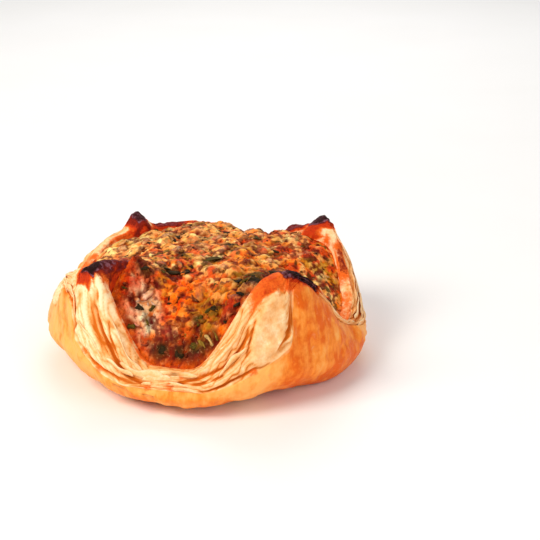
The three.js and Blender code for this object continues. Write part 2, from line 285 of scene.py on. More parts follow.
@dataclass
class Form:
    """The pastry's main shape: the frame's formulas, worked out for whole arrays of angles.

    Each size has a value at every corner and every side, and goes smoothly from one to the other.
    """

    middle: Range = (0.460, 0.103)
    foot_lobes: Path = ((222, -3.0), (251, 4.5), (289, 2.5), (338, 3.5))
    lobe_widths: Sequence[float] = (13, 11, 9, 13)
    wall_roundness: float = 1.5
    lip_depth: float = 2.6
    lip_fall: float = 0.8
    wall_thickness: float = 8.0
    floor_height: float = 10.0
    fill_below_rim: float = 1.4
    fill_below_tip: float = 0.12

    def around(self, angle: Array, size: str, flank: bool) -> Array:
        """A size that is the corner's at a corner and the side's at a side.

        Args:
            angle: the angles to work it out for.
            size: the name of the size, which corners and sides both have.
            flank: keeps the corner's size over its tip and the side's over the bottom of its dip.
        """
        angle = np.asarray(angle, float) % FULL_TURN
        out = np.zeros(angle.shape)
        for corner in CORNERS:
            for side in SIDES:
                span = float(turn(side.at - corner.at))
                if abs(span) > 70.0:
                    continue
                offset = turn(angle - corner.at) * math.copysign(1.0, span)
                tip, level = (corner.after if span > 0 else corner.before), side.level
                share = (offset - tip) / (abs(span) - level - tip) if flank else offset / abs(span)
                value = lerp(getattr(corner, size), getattr(side, size), ease(share))
                here = (offset >= 0.0) & (offset <= abs(span) + 1e-9)
                out[here] = value[here]
        return out

    def foot_swell(self, angle: Array) -> Array:
        """How far the foot stands out or in, as bells between the petals."""
        lobes = zip(self.foot_lobes, self.lobe_widths)
        return sum(out * bell(angle, at, width) for (at, out), width in lobes)

    def rim(self, angle: Array) -> Pair:
        """The rim's radius and height."""
        peak = sum(c.peak * bell(angle, c.at, c.peak_width) for c in CORNERS)
        return self.around(angle, "radius", True), self.around(angle, "height", True) + peak

    def belly(self, angle: Array) -> Pair:
        """The radius and height where the outer wall is widest."""
        swell = self.foot_swell(angle)
        radius = self.around(angle, "widest", False) + 0.15 * swell
        return radius, self.around(angle, "widest_height", False) - 0.3 * swell

    def foot(self, angle: Array) -> Array:
        """The radius of the flat base."""
        return self.around(angle, "foot", False) + self.foot_swell(angle)

    def skin_edge(self, angle: Array) -> Array:
        """The height where the smooth skin ends and the open layers of the pastry's cut edge begin."""
        shares = [np.clip(1.0 - np.abs(turn(angle - side.at)) / 45.0, 0.0, None) for side in SIDES]
        total = sum(shares)
        height = sum(side.skin * share for side, share in zip(SIDES, shares))
        height = np.where(total > 0, height / np.maximum(total, 1e-9), 12.0)
        for c in CORNERS:
            half = (c.skin_to - c.skin_from) / 2.0
            offset = np.abs(turn(angle - c.skin_from - half))
            petal = fall(offset - half, -2.0, 4.5)
            climb = np.clip(1.0 - (offset - half + 1.0) / c.skirt_width, 0.0, 1.0)
            crown = c.skin_top - 4.0 * (offset / half) ** 2
            height = height + c.skirt * climb**1.5 * (1.0 - petal)
            height = lerp(height, crown, petal)
        return np.maximum(self.belly(angle)[1] + 1.0, np.minimum(height, self.rim(angle)[1] - 1.5))

    def wall_radius(self, angle: Array, height: Array) -> Array:
        """The outer wall above the belly: a rounded curve that leans in to the rim."""
        top_r, top_z = self.rim(angle)
        low_r, low_z = self.belly(angle)
        up = np.clip((height - low_z) / (top_z - low_z), 0.0, 1.0)
        power = self.wall_roundness
        return top_r + (low_r - top_r) * (1.0 - up**power) ** (1.0 / power)

    def lip(self, angle: Array) -> Pair:
        """The radius and height of the lip's inner edge, with the folded tips."""
        top_r, top_z = self.rim(angle)
        reach = sum(t.reach * bell(angle, t.at, t.width) for t in TONGUES)
        fall = sum(t.reach * t.fall * bell(angle, t.at, t.width) for t in TONGUES)
        return top_r - self.lip_depth - reach, top_z - self.lip_fall - fall

    def inner_wall(self, angle: Array, shares: Array) -> Array:
        """The inner wall from the lip down to the edge of the floor, a cubic curve.

        Args:
            angle: the angles, in an array of n.
            shares: where on the curve, from 0 at the lip to 1 at the floor, in an array of m.

        Returns:
            Radius and height on the last axis of an array of m by n by 2.
        """
        top_r, top_z = self.rim(angle)
        lip_r, lip_z = self.lip(angle)
        reach = top_r - self.lip_depth - lip_r
        low_r = top_r - self.wall_thickness - 0.6 * reach
        low_z = np.minimum(top_z - 9.0, top_z * 0.45) + 0.3 * self.floor_height
        points = [(lip_r, lip_z), (lip_r - 0.5, lip_z - 3.0), (low_r + 2.0, low_z + 3.0), (low_r, low_z)]
        return cubic(points, shares)

    def fill_edge(self, angle: Array) -> Pair:
        """Where the filling's top meets the inner wall: a little below the rim, and lower by the tips."""
        top_z = self.rim(angle)[1]
        height = top_z - self.fill_below_rim - self.fill_below_tip * (top_z - FRONT.height)
        sink = sum(t.sink * bell(angle, t.at, t.sink_width) for t in TONGUES)
        height = np.minimum(height, self.lip(angle)[1]) - sink
        wall = self.inner_wall(angle, np.linspace(0.0, 1.0, 25))
        below = np.sum(wall[..., 1] >= height, axis=0).clip(1, 24)
        column = np.arange(len(angle))
        upper, lower = wall[below - 1, column], wall[below, column]
        share = (upper[:, 1] - height) / (upper[:, 1] - lower[:, 1])
        return lerp(upper[:, 0], lower[:, 0], np.clip(share, 0.0, 1.0)), height

    def place(self, angle: Array, radius: Array, height: Array) -> Array:
        """Points in millimetres from angle, radius and height, brought onto the frame's axis."""
        theta = np.radians(angle)
        x = radius * np.cos(theta) - self.middle[0]
        y = radius * np.sin(theta) - self.middle[1]
        return np.stack(np.broadcast_arrays(x, y, height), axis=-1)


def cubic(points: Sequence[Pair], shares: Array) -> Array:
    """A cubic curve through its first and last points, pulled towards the two between.

    Args:
        points: four pairs of radius and height, each an array of n.
        shares: how far along, from 0 to 1, in an array of m.

    Returns:
        Radius and height on the last axis of an array of m by n by 2.
    """
    t = np.asarray(shares, float)[:, None, None]
    a, b, c, d = (np.stack(np.broadcast_arrays(*p), axis=-1)[None] for p in points)
    return (1 - t) ** 3 * a + 3 * (1 - t) ** 2 * t * b + 3 * (1 - t) * t**2 * c + t**3 * d


def smooth_path(points: Path, steps: int = 6) -> Array:
    """A smooth path through given points: each stretch is a cubic that leaves along its neighbours' line.

    Args:
        points: the points that the path goes through.
        steps: how many short steps each stretch is cut into.
    """
    p = np.array(points, float)
    p = np.concatenate([2 * p[:1] - p[1:2], p, 2 * p[-1:] - p[-2:-1]])
    t = spaced(steps)[None, :, None]
    a, b, c, d = (p[i:len(p) - 3 + i][:, None] for i in range(4))
    curve = b + 0.5 * t * (c - a + t * (2 * a - 5 * b + 4 * c - d + t * (3 * (b - c) + d - a)))
    return np.concatenate([curve.reshape(-1, p.shape[1]), p[-2:-1]])


def path_distance(at: Array, path: Array) -> Pair:
    """How far points are from a path, and how far along it the nearest place is, from 0 to 1.

    Args:
        at: points, with two numbers on the last axis.
        path: the path's points.
    """
    best = np.full(at.shape[:-1], 1e9)
    along = np.zeros(at.shape[:-1])
    count = len(path) - 1
    for i in range(count):
        step = path[i + 1] - path[i]
        share = np.clip(((at - path[i]) @ step) / max(step @ step, 1e-9), 0.0, 1.0)
        distance = np.linalg.norm(at - path[i] - share[..., None] * step, axis=-1)
        closer = distance < best
        best = np.where(closer, distance, best)
        along = np.where(closer, (i + share) / count, along)
    return best, along


def add_thing(name: str, data: bpy.types.ID) -> Thing:
    """Puts an object with some data in the scene."""
    thing = bpy.data.objects.new(name, data)
    bpy.context.scene.collection.objects.link(thing)
    return thing


def write_mesh(name: str, points: Array, faces: Array, colours: Optional[Named] = None,
               values: Optional[Named] = None) -> Thing:
    """Makes a smooth-shaded mesh object at the origin.

    Args:
        name: the object's name.
        points: its points in millimetres.
        faces: four point numbers a face; a face of three repeats its last number.
        colours: named colours, one red, green and blue for each point.
        values: named numbers or vectors, one for each point.
    """
    mesh = bpy.data.meshes.new(name)
    sides = np.where(faces[:, 3] == faces[:, 2], 3, 4)
    loops = faces.reshape(-1)[np.stack([sides > k for k in range(4)], axis=1).reshape(-1)]
    mesh.vertices.add(len(points))
    mesh.vertices.foreach_set("co", (points * MM).astype(np.float32).reshape(-1))
    mesh.loops.add(len(loops))
    mesh.loops.foreach_set("vertex_index", loops.astype(np.int32))
    mesh.polygons.add(len(faces))
    mesh.polygons.foreach_set("loop_start", (np.cumsum(sides) - sides).astype(np.int32))
    mesh.update(calc_edges=True)
    mesh.polygons.foreach_set("use_smooth", np.ones(len(faces), bool))
    for label, colour in (colours or {}).items():
        layer = mesh.attributes.new(label, "FLOAT_COLOR", "POINT")
        full = np.concatenate([colour[:, :3], np.ones((len(colour), 1))], axis=1)
        layer.data.foreach_set("color", full.astype(np.float32).reshape(-1))
    for label, value in (values or {}).items():
        kind, key = ("FLOAT", "value") if value.ndim == 1 else ("FLOAT_VECTOR", "vector")
        layer = mesh.attributes.new(label, kind, "POINT")
        layer.data.foreach_set(key, value.astype(np.float32).reshape(-1))
    mesh.validate()
    return add_thing(name, mesh)


def ring_faces(rows: int, columns: int) -> Array:
    """Faces of a grid whose columns run right round, with a point under its first row and one over its last.

    The points are numbered: the first point, then the grid row by row, then the last point.
    """
    index = 1 + np.arange(rows * columns).reshape(rows, columns)
    after = np.roll(index, -1, axis=1)
    quads = np.stack([index[:-1], after[:-1], after[1:], index[1:]], axis=-1).reshape(-1, 4)
    last = np.full(columns, rows * columns + 1)
    zero = np.zeros(columns, int)
    under = np.stack([zero, after[0], index[0], index[0]], axis=-1)
    over = np.stack([index[-1], after[-1], last, last], axis=-1)
    return np.concatenate([under, quads, over])


def grid_normals(grid: Array) -> Array:
    """The outward direction at each point of a grid whose columns run anticlockwise right round."""
    across = np.roll(grid, -1, axis=1) - np.roll(grid, 1, axis=1)
    up = np.gradient(grid, axis=0)
    return unit(np.cross(across, up))


def tube_faces(rows: int, columns: int) -> Array:
    """Faces of a tube of rows along by columns round, closed at both ends by fans over their first point."""
    index = np.arange(rows * columns).reshape(rows, columns)
    after = np.roll(index, -1, axis=1)
    sides = np.stack([index[:-1], after[:-1], after[1:], index[1:]], axis=-1).reshape(-1, 4)
    first, last = index[0], index[-1]
    start = np.stack([np.full(columns - 2, first[0]), first[2:], first[1:-1], first[1:-1]], axis=-1)
    end = np.stack([np.full(columns - 2, last[0]), last[1:-1], last[2:], last[2:]], axis=-1)
    return np.concatenate([sides, start, end])


def round_ball(rows: int, columns: int, cut: float) -> Pair:
    """A ball of radius 1 as rings along x, its ends cut off by a small angle, and the angles in a ring."""
    polar = np.linspace(cut, math.pi - cut, rows)[:, None]
    around = spaced(columns, math.tau)[None]
    x, y, z = np.cos(polar), np.sin(polar) * np.cos(around), np.sin(polar) * np.sin(around)
    return np.stack(np.broadcast_arrays(x, y, z), axis=-1), around


class Gathered:
    """Pieces gathered for one mesh: their points, faces and carried values, in order."""

    def __init__(self) -> None:
        """Starts with no pieces."""
        self.lists: dict[str, list] = {}
        self.total = 0

    def add(self, points: Array, faces: Array, **carried: Array) -> None:
        """Adds a piece, its faces numbered on from those before it."""
        for name, values in {"points": points, "faces": faces + self.total, **carried}.items():
            self.lists.setdefault(name, []).append(values)
        self.total += len(points)

    def joined(self) -> Named:
        """The pieces' arrays joined end to end."""
        return {name: np.concatenate(items) for name, items in self.lists.items()}


class Nodes:
    """A material's node tree, with a short call for each kind of node that the finishes use."""

    def __init__(self, name: str) -> None:
        """Makes a material with a shader, an output and the object's places in millimetres."""
        self.material = bpy.data.materials.new(name)
        self.material.use_nodes = True
        self.tree = self.material.node_tree
        self.tree.nodes.clear()
        self.shader = self.node("BsdfPrincipled")
        output = self.node("OutputMaterial")
        self.tree.links.new(self.shader.outputs[0], output.inputs["Surface"])
        self.places = self.millimetres(self.node("TexCoord").outputs["Object"])

    def node(self, kind: str) -> bpy.types.Node:
        """A new shader node of a kind."""
        return self.tree.nodes.new("ShaderNode" + kind)

    def put(self, socket: Socket, value: object) -> None:
        """Sets a socket to a number or colour, or links it to another node's output."""
        if isinstance(value, Socket):
            self.tree.links.new(value, socket)
        else:
            socket.default_value = value

    def millimetres(self, vector: Socket) -> Socket:
        """A position in metres turned into millimetres."""
        node = self.node("Mapping")
        node.inputs["Scale"].default_value = [1.0 / MM] * 3
        self.put(node.inputs["Vector"], vector)
        return node.outputs[0]

    def carried(self, name: str, kind: str = "Fac") -> Socket:
        """What the mesh carries for each point under a name: a number, or its Color or Vector."""
        node = self.node("Attribute")
        node.attribute_name = name
        return node.outputs[kind]

    def noise(self, size: float, detail: float = 3.0, rough: float = 0.55,
              at: Optional[Socket] = None, warp: float = 0.0) -> Socket:
        """Noise from 0 to 1 whose blots are about size millimetres wide."""
        node = self.node("TexNoise")
        node.inputs["Scale"].default_value = 1.0 / size
        node.inputs["Detail"].default_value = detail
        node.inputs["Roughness"].default_value = rough
        node.inputs["Distortion"].default_value = warp
        self.put(node.inputs["Vector"], at or self.places)
        return node.outputs["Fac"]

    def math(self, kind: str, a: object, b: object) -> Socket:
        """A sum, product or other step on two numbers."""
        node = self.node("Math")
        node.operation = kind
        self.put(node.inputs[0], a)
        self.put(node.inputs[1], b)
        return node.outputs[0]

    def times(self, a: object, b: object) -> Socket:
        """Two numbers multiplied."""
        return self.math("MULTIPLY", a, b)

    def span(self, value: object, low: float, high: float) -> Socket:
        """A number stretched so that low becomes 0 and high becomes 1, eased and held between them."""
        node = self.node("MapRange")
        node.interpolation_type = "SMOOTHSTEP"
        self.put(node.inputs["Value"], value)
        node.inputs["From Min"].default_value = low
        node.inputs["From Max"].default_value = high
        return node.outputs["Result"]

    def ramp(self, share: object, *stops: tuple[float, str]) -> Socket:
        """Colours set along a line from 0 to 1."""
        node = self.node("ValToRGB")
        elements = node.color_ramp.elements
        while len(elements) < len(stops):
            elements.new(0.5)
        for element, (at, code) in zip(elements, stops):
            element.position = at
            element.color = linear(code)
        self.put(node.inputs["Fac"], share)
        return node.outputs["Color"]

    def blend(self, share: object, a: object, b: object) -> Socket:
        """Colour a turned into b by a share."""
        node = self.node("Mix")
        node.data_type = "RGBA"
        self.put(node.inputs[0], share)
        self.put(node.inputs[6], linear(a) if isinstance(a, str) else a)
        self.put(node.inputs[7], linear(b) if isinstance(b, str) else b)
        return node.outputs[2]

    def wobble(self, value: object, *noises: tuple[Socket, float]) -> Socket:
        """A number shifted up and down by noises, each less its middle of a half and times its strength."""
        for noise, strength in noises:
            value = self.math("ADD", value, self.times(self.math("SUBTRACT", noise, 0.5), strength))
        return value

    def bump(self, height: object, depth: float, under: Optional[Socket] = None,
             strength: object = 1.0) -> Socket:
        """A fine relief of a depth in millimetres, over another relief."""
        node = self.node("Bump")
        node.inputs["Distance"].default_value = depth * MM
        self.put(node.inputs["Strength"], strength)
        self.put(node.inputs["Height"], height)
        if under:
            self.put(node.inputs["Normal"], under)
        return node.outputs["Normal"]

    def finish(self, base: object, rough: object, normal: object, **fixed: float) -> Material:
        """Links the shader's colour, roughness and relief, and sets its other sockets to plain numbers."""
        self.put(self.shader.inputs["Base Color"], base)
        self.put(self.shader.inputs["Roughness"], rough)
        self.put(self.shader.inputs["Normal"], normal)
        for socket, number in fixed.items():
            self.shader.inputs[socket.replace("_", " ").title().replace("Ior", "IOR")].default_value = number
        return self.material


@dataclass(frozen=True)
class PastryFinish:
    """Baked puff pastry: golden skin, cream open layers with painted shade in the orange hollows between
    them, and tips burnt red to black.
    """

    light_skin: str = "#FFB25C"
    mid_skin: str = "#FB9234"
    deep_skin: str = "#E8640C"
    blister: str = "#FFC888"
    cream: str = "#FFEABC"
    peach: str = "#FCC68A"
    tan: str = "#F0A054"
    # the gap colour is painted shade in the hollows between the layers
    gap: str = "#CC6410"
    amber: str = "#F26C1E"
    toast: str = "#CC380A"
    toast_dark: str = "#7C1A0A"
    char: str = "#4E1416"
    char_black: str = "#260C0A"
    ash_highlight: str = "#8C5A66"

    def make(self) -> Material:
        """Mixes the colours by the mesh's own numbers, each edge broken up by noise."""
        n = Nodes("baked_pastry")
        streaks = n.noise(2.4, 4.0, 0.6, n.carried("flow", "Vector"))
        grain = n.noise(1.5, 3.0, 0.55, n.carried("grain", "Vector"), 0.8)
        broad = n.noise(9.0, 3.0, 0.5)
        blots = n.noise(2.8, 3.0, 0.55)
        fine = n.noise(0.8, 4.0, 0.65)
        skin = self.skin(n, streaks, broad, blots)
        layers = self.layers(n, grain, blots, fine)
        edge = n.wobble(n.carried("layer"), (broad, 0.5))
        base = n.blend(n.span(edge, 0.35, 0.65), skin, layers)
        # painted shade: the gap colour laid over the creases, grooves and valleys between the layers
        base = n.blend(n.times(n.span(n.carried("gap"), 0.45, 1.0), 0.8), base, self.gap)
        base = self.burnt(n, base, blots, fine)
        rough = n.math("ADD", n.times(n.span(edge, 0.35, 0.65), 0.22), 0.44)
        relief = n.bump(streaks, 0.14)
        relief = n.bump(grain, 0.2, relief, n.carried("crisp"))
        relief = n.bump(blots, 0.3, relief)
        relief = n.bump(fine, 0.12, relief)
        blister = n.noise(1.7, 3.0, 0.6, warp=1.5)
        relief = n.bump(blister, 0.7, relief, n.span(n.carried("toast"), 0.2, 0.6))
        return n.finish(base, rough, relief, specular_ior_level=0.1)

    def skin(self, n: Nodes, streaks: Socket, broad: Socket, blots: Socket) -> Socket:
        """The glazed skin: from light to deep gold by blots and streaks, with paler blotches that are partly
        painted blister highlights.
        """
        deep = n.wobble(n.carried("deep"), (broad, 1.7), (streaks, 1.5), (blots, 1.3))
        skin = n.ramp(deep, (0.0, self.light_skin), (0.5, self.mid_skin), (1.0, self.deep_skin))
        # paler blotches: lighter skin, partly painted highlight on blisters
        pale = n.times(n.span(blots, 0.62, 0.8), 0.4)
        return n.blend(pale, skin, self.blister)

    def layers(self, n: Nodes, grain: Socket, blots: Socket, fine: Socket) -> Socket:
        """The open layers: cream on their edges, and darker the deeper they lie, as painted shade."""
        lines = n.times(n.math("SUBTRACT", grain, 0.5), n.carried("crisp"))
        hollow = n.math("ADD", n.wobble(n.carried("gap"), (blots, 0.5), (fine, 0.45)), lines)
        return n.ramp(hollow, (0.0, self.cream), (0.3, self.peach), (0.6, self.tan), (0.95, self.gap))

    def burnt(self, n: Nodes, base: Socket, blots: Socket, fine: Socket) -> Socket:
        """Browning laid over the rest: amber, then red, then dark red, and at last black with grey flecks
        that are partly painted highlight.
        """
        rust = n.wobble(n.carried("toast"), (blots, 0.6), (fine, 0.4))
        base = n.blend(n.span(rust, 0.08, 0.42), base, self.amber)
        base = n.blend(n.span(rust, 0.36, 0.72), base, self.toast)
        base = n.blend(n.span(rust, 0.72, 1.05), base, self.toast_dark)
        soot = n.wobble(n.carried("char"), (blots, 0.25), (fine, 0.4))
        # purple-grey flecks on the char: burnt crust partly lightened as painted highlight
        ash_highlight = n.times(n.span(n.noise(1.3, 3.0, 0.6), 0.43, 0.62), 0.85)
        base = n.blend(n.span(soot, 0.22, 0.5), base, self.toast_dark)
        base = n.blend(n.span(soot, 0.42, 0.66), base, n.blend(ash_highlight, self.char, self.ash_highlight))
        return n.blend(n.span(soot, 0.7, 0.98), base, self.char_black)


@dataclass(frozen=True)
class CrustFinish:
    """The filling's browned top: each lump keeps its colour from the mesh, painted shade and highlight
    included, with fine grain and glossy spots.
    """

    pit: str = "#641004"
    bump_highlight: str = "#FFC480"

    def make(self) -> Material:
        """Takes the mesh's colours and adds painted highlight and shade on the fine bumps, the pits and
        gloss.
        """
        n = Nodes("baked_filling")
        fine = n.noise(1.0, 4.0, 0.65)
        grain = n.noise(0.3, 2.0, 0.6)
        # painted highlight: light specks on the tops of the fine bumps; painted shade: pit colour in their
        # hollows
        base = n.blend(n.times(n.span(fine, 0.56, 0.74), 0.3), n.carried("tint", "Color"), self.bump_highlight)
        base = n.blend(n.times(n.span(fine, 0.46, 0.32), 0.6), base, self.pit)
        base = n.blend(n.times(n.carried("pit"), 0.8), base, self.pit)
        wet = n.span(n.noise(2.4, 2.0, 0.5), 0.46, 0.7)
        rough = n.math("SUBTRACT", 0.62, n.times(wet, 0.36))
        relief = n.bump(fine, 0.4)
        relief = n.bump(grain, 0.1, relief)
        return n.finish(base, rough, relief, specular_ior_level=0.07)


@dataclass(frozen=True)
class LeekFinish:
    """Baked leek: dark green to pale strips with fibre lines along them, and scorched edges."""

    scorch: str = "#2A1C10"

    def make(self) -> Material:
        """Lines run along each strip by its own lengthwise vector."""
        n = Nodes("baked_leek")
        fibres = n.noise(0.35, 2.0, 0.5, n.carried("fibre", "Vector"))
        blots = n.noise(1.2, 3.0, 0.6)
        base = n.blend(n.span(fibres, 0.35, 0.7), n.carried("tint", "Color"), n.carried("vein", "Color"))
        base = n.blend(n.times(n.span(blots, 0.56, 0.7), 0.7), base, self.scorch)
        relief = n.bump(fibres, 0.16)
        relief = n.bump(blots, 0.15, relief)
        return n.finish(base, 0.65, relief, specular_ior_level=0.08)


@dataclass(frozen=True)
class ChickenFinish:
    """Torn chicken: pale fibres with painted shade in the grooves between them, browned where they stand up.
    """

    brown: str = "#C8642A"
    # dark: painted shade in the grooves between the fibres
    dark: str = "#7E2C14"

    def make(self) -> Material:
        """Fibre lines by the pieces' own lengthwise vector, with browning blots."""
        n = Nodes("baked_chicken")
        fibres = n.noise(0.6, 3.0, 0.6, n.carried("fibre", "Vector"))
        blots = n.noise(2.0, 3.0, 0.6)
        base = n.blend(n.span(blots, 0.44, 0.66), n.carried("tint", "Color"), self.brown)
        # painted shade: the dark colour in the grooves between the fibres
        base = n.blend(n.times(n.span(fibres, 0.5, 0.3), 0.6), base, self.dark)
        rough = n.math("SUBTRACT", 0.55, n.times(n.span(blots, 0.55, 0.35), 0.25))
        relief = n.bump(fibres, 0.3)
        relief = n.bump(n.noise(0.4, 2.0, 0.5), 0.08, relief)
        return n.finish(base, rough, relief, specular_ior_level=0.2)


@dataclass(frozen=True)
class Crease:
    """A line pressed into the open layers, or a layer that stands out of them when its depth is negative.

    path holds angles and heights on the outer wall. width is half its width in millimetres.
    """

    path: Path
    depth: float
    width: float


FRONT_CREASES = {
    "short gap by the left tip": Crease(((242.4, 39.5), (243.0, 37.4), (243.4, 35.5)), 0.9, 0.45),
    "deep gap down the left flank": Crease(((242.7, 35.5), (243.6, 32.1), (245.0, 29.5), (247.2, 25.8),
        (250.4, 21.8), (252.8, 18.5), (254.9, 16.6), (258.0, 14.3), (261.3, 12.5),
        (265.4, 11.2)), 2.0, 0.85),
    "wide hollow left of it": Crease(((240.8, 37.0), (241.6, 33.0), (242.8, 29.5), (245.0, 25.4),
        (248.2, 21.4), (250.8, 18.2)), 0.8, 1.25),
    "left edge of the left skin": Crease(((222.5, 34.2), (219.6, 33.4), (215.7, 29.1), (212.3, 24.5),
        (206.0, 22.8)), 0.7, 0.5),
    "thin gap beside it": Crease(((248.4, 30.5), (249.4, 27.0), (250.5, 24.6), (253.0, 20.5),
        (255.2, 16.8)), 0.8, 0.32),
    "outer layer of the left flank": Crease(((233.1, 38.9), (235.5, 35.2), (237.7, 32.2), (239.6, 28.8),
        (240.8, 25.8), (243.0, 21.2), (246.1, 18.2), (250.0, 16.1), (252.6, 14.8)), -0.9, 1.2),
    "inner layer of the left flank": Crease(((250.6, 26.3), (253.3, 22.3), (256.6, 17.8),
        (259.0, 15.6)), -0.6, 0.8),
    "edge of the left skin": Crease(((236.9, 19.9), (238.9, 19.2), (242.8, 16.2), (246.2, 15.0),
        (250.1, 14.0), (254.2, 12.9), (256.9, 12.2), (260.0, 11.6), (263.0, 11.2)), 1.1, 0.6),
    "right edge of the left skin": Crease(((222.0, 33.8), (228.5, 33.0), (232.6, 30.0), (233.5, 26.0),
        (232.8, 22.5), (233.5, 19.8), (236.9, 19.6)), 0.7, 0.6),
    "long front crease": Crease(((271.5, 11.3), (273.6, 11.7), (277.6, 12.9), (282.2, 14.0), (286.8, 16.0),
        (289.7, 17.5), (291.9, 18.8), (293.9, 21.3)), 1.0, 0.42),
    "front edge of the skin": Crease(((283.5, 10.7), (286.1, 11.0), (288.5, 11.8), (291.6, 12.9),
        (294.1, 14.2), (297.9, 15.6), (301.8, 17.5), (305.0, 17.9), (307.6, 19.2)), 1.0, 0.42),
    "crease up the right flank": Crease(((301.2, 31.5), (300.4, 29.0), (298.4, 25.6), (296.0, 22.2),
        (294.2, 20.0)), 0.9, 0.45),
    "fine crease by the oval": Crease(((304.2, 34.5), (302.6, 30.5), (301.0, 26.0),
        (299.6, 22.0)), 0.6, 0.35),
    "bright layer along the right lip": Crease(((300.6, 35.0), (299.0, 31.8), (296.3, 28.2), (293.5, 24.6),
        (290.5, 21.3), (287.1, 18.6), (283.0, 16.4)), -0.6, 0.8),
    "right edge of the oval": Crease(((317.0, 36.5), (316.9, 33.0), (315.6, 28.9), (312.7, 25.5),
        (310.5, 23.3), (309.0, 22.0), (306.5, 20.4)), 0.9, 0.6),
    "pale layer beyond the oval": Crease(((318.4, 31.0), (317.6, 26.4), (315.0, 23.2), (312.0, 20.9),
        (309.6, 19.4)), -0.25, 1.3),
    "hollow in the front layers": Crease(((281.0, 12.6), (283.5, 12.9), (286.0, 13.6)), 0.8, 0.4),
    "second hollow in the front layers": Crease(((287.5, 14.2), (290.0, 15.2), (292.0, 16.2)), 0.7, 0.4),
}

OVAL_MIDDLE = (308.3, 29.6)
OVAL_HALF = (5.4, 12.0)
OVAL_TILT = 21.0
OVAL_RISE = 0.7
LEFT_FLANK = ((234.0, 49.0), (238.5, 43.0), (241.5, 38.0), (243.6, 32.1), (247.2, 25.8), (252.8, 18.5),
              (258.0, 14.3), (265.4, 11.2))
ARCH = ((198.0, 22.0), (206.0, 22.5), (212.3, 24.0), (215.7, 29.1), (219.6, 33.4), (223.0, 40.0))


@dataclass(frozen=True)
class Burn:
    """A browned or burnt stretch of the rim.

    at and width: its middle and half angle. depth: how far down from the rim it goes. toast_depth and
    toast_width: the same for the red-orange zone round it. strength and redness: how far each goes.
    """

    at: float
    width: float
    depth: float
    toast_width: float
    toast_depth: float
    strength: float = 1.0
    redness: float = 0.75


BURNS = (
    Burn(236.0, 4.3, 2.0, 4.9, 2.6, 1.0, 0.7), Burn(234.6, 1.0, 0.1, 4.8, 7.0, 0.0, 0.85),
    Burn(325.5, 8.5, 1.8, 11.0, 3.4), Burn(318.6, 2.4, 1.8, 6.5, 6.4, 0.7, 0.47),
    Burn(309.5, 3.0, 0.3, 7.6, 4.6, 0.0, 0.5), Burn(138.0, 3.0, 2.1, 6.0, 6.0, 0.85, 1.0),
    Burn(124.0, 8.0, 1.0, 12.0, 1.8, 0.5, 0.75), Burn(98.0, 12.0, 0.5, 16.0, 1.0, 0.4, 0.4),
    Burn(45.0, 3.6, 2.5, 6.0, 4.8, 0.9), Burn(62.0, 8.0, 1.0, 12.0, 1.8, 0.5, 0.75),
    Burn(26.0, 6.0, 0.5, 11.0, 1.3, 0.4, 0.4), Burn(4.0, 8.0, 0.4, 14.0, 0.9, 0.0, 0.3),
    Burn(170.0, 5.0, 0.3, 7.0, 0.8, 0.0, 0.35), Burn(196.0, 5.0, 0.3, 7.0, 0.7, 0.0, 0.3),
)


@dataclass(frozen=True)
class Spot:
    """A small toasted spot on the outer wall: its angle, height, radius and strength."""

    at: float
    height: float
    radius: float
    strength: float = 0.8


SPOTS = (
    Spot(265.8, 11.0, 1.8, 0.32), Spot(273.6, 11.5, 1.6, 0.34),
    Spot(277.0, 14.3, 1.6, 0.26), Spot(239.0, 18.4, 2.2, 0.24),
    Spot(247.5, 14.2, 2.0, 0.24), Spot(302.0, 16.6, 1.9, 0.26),
    Spot(262.0, 2.2, 2.6, 0.24), Spot(196.0, 26.0, 1.0, 0.5),
    Spot(186.0, 24.0, 0.9, 0.45), Spot(172.0, 25.0, 1.1, 0.5),
)


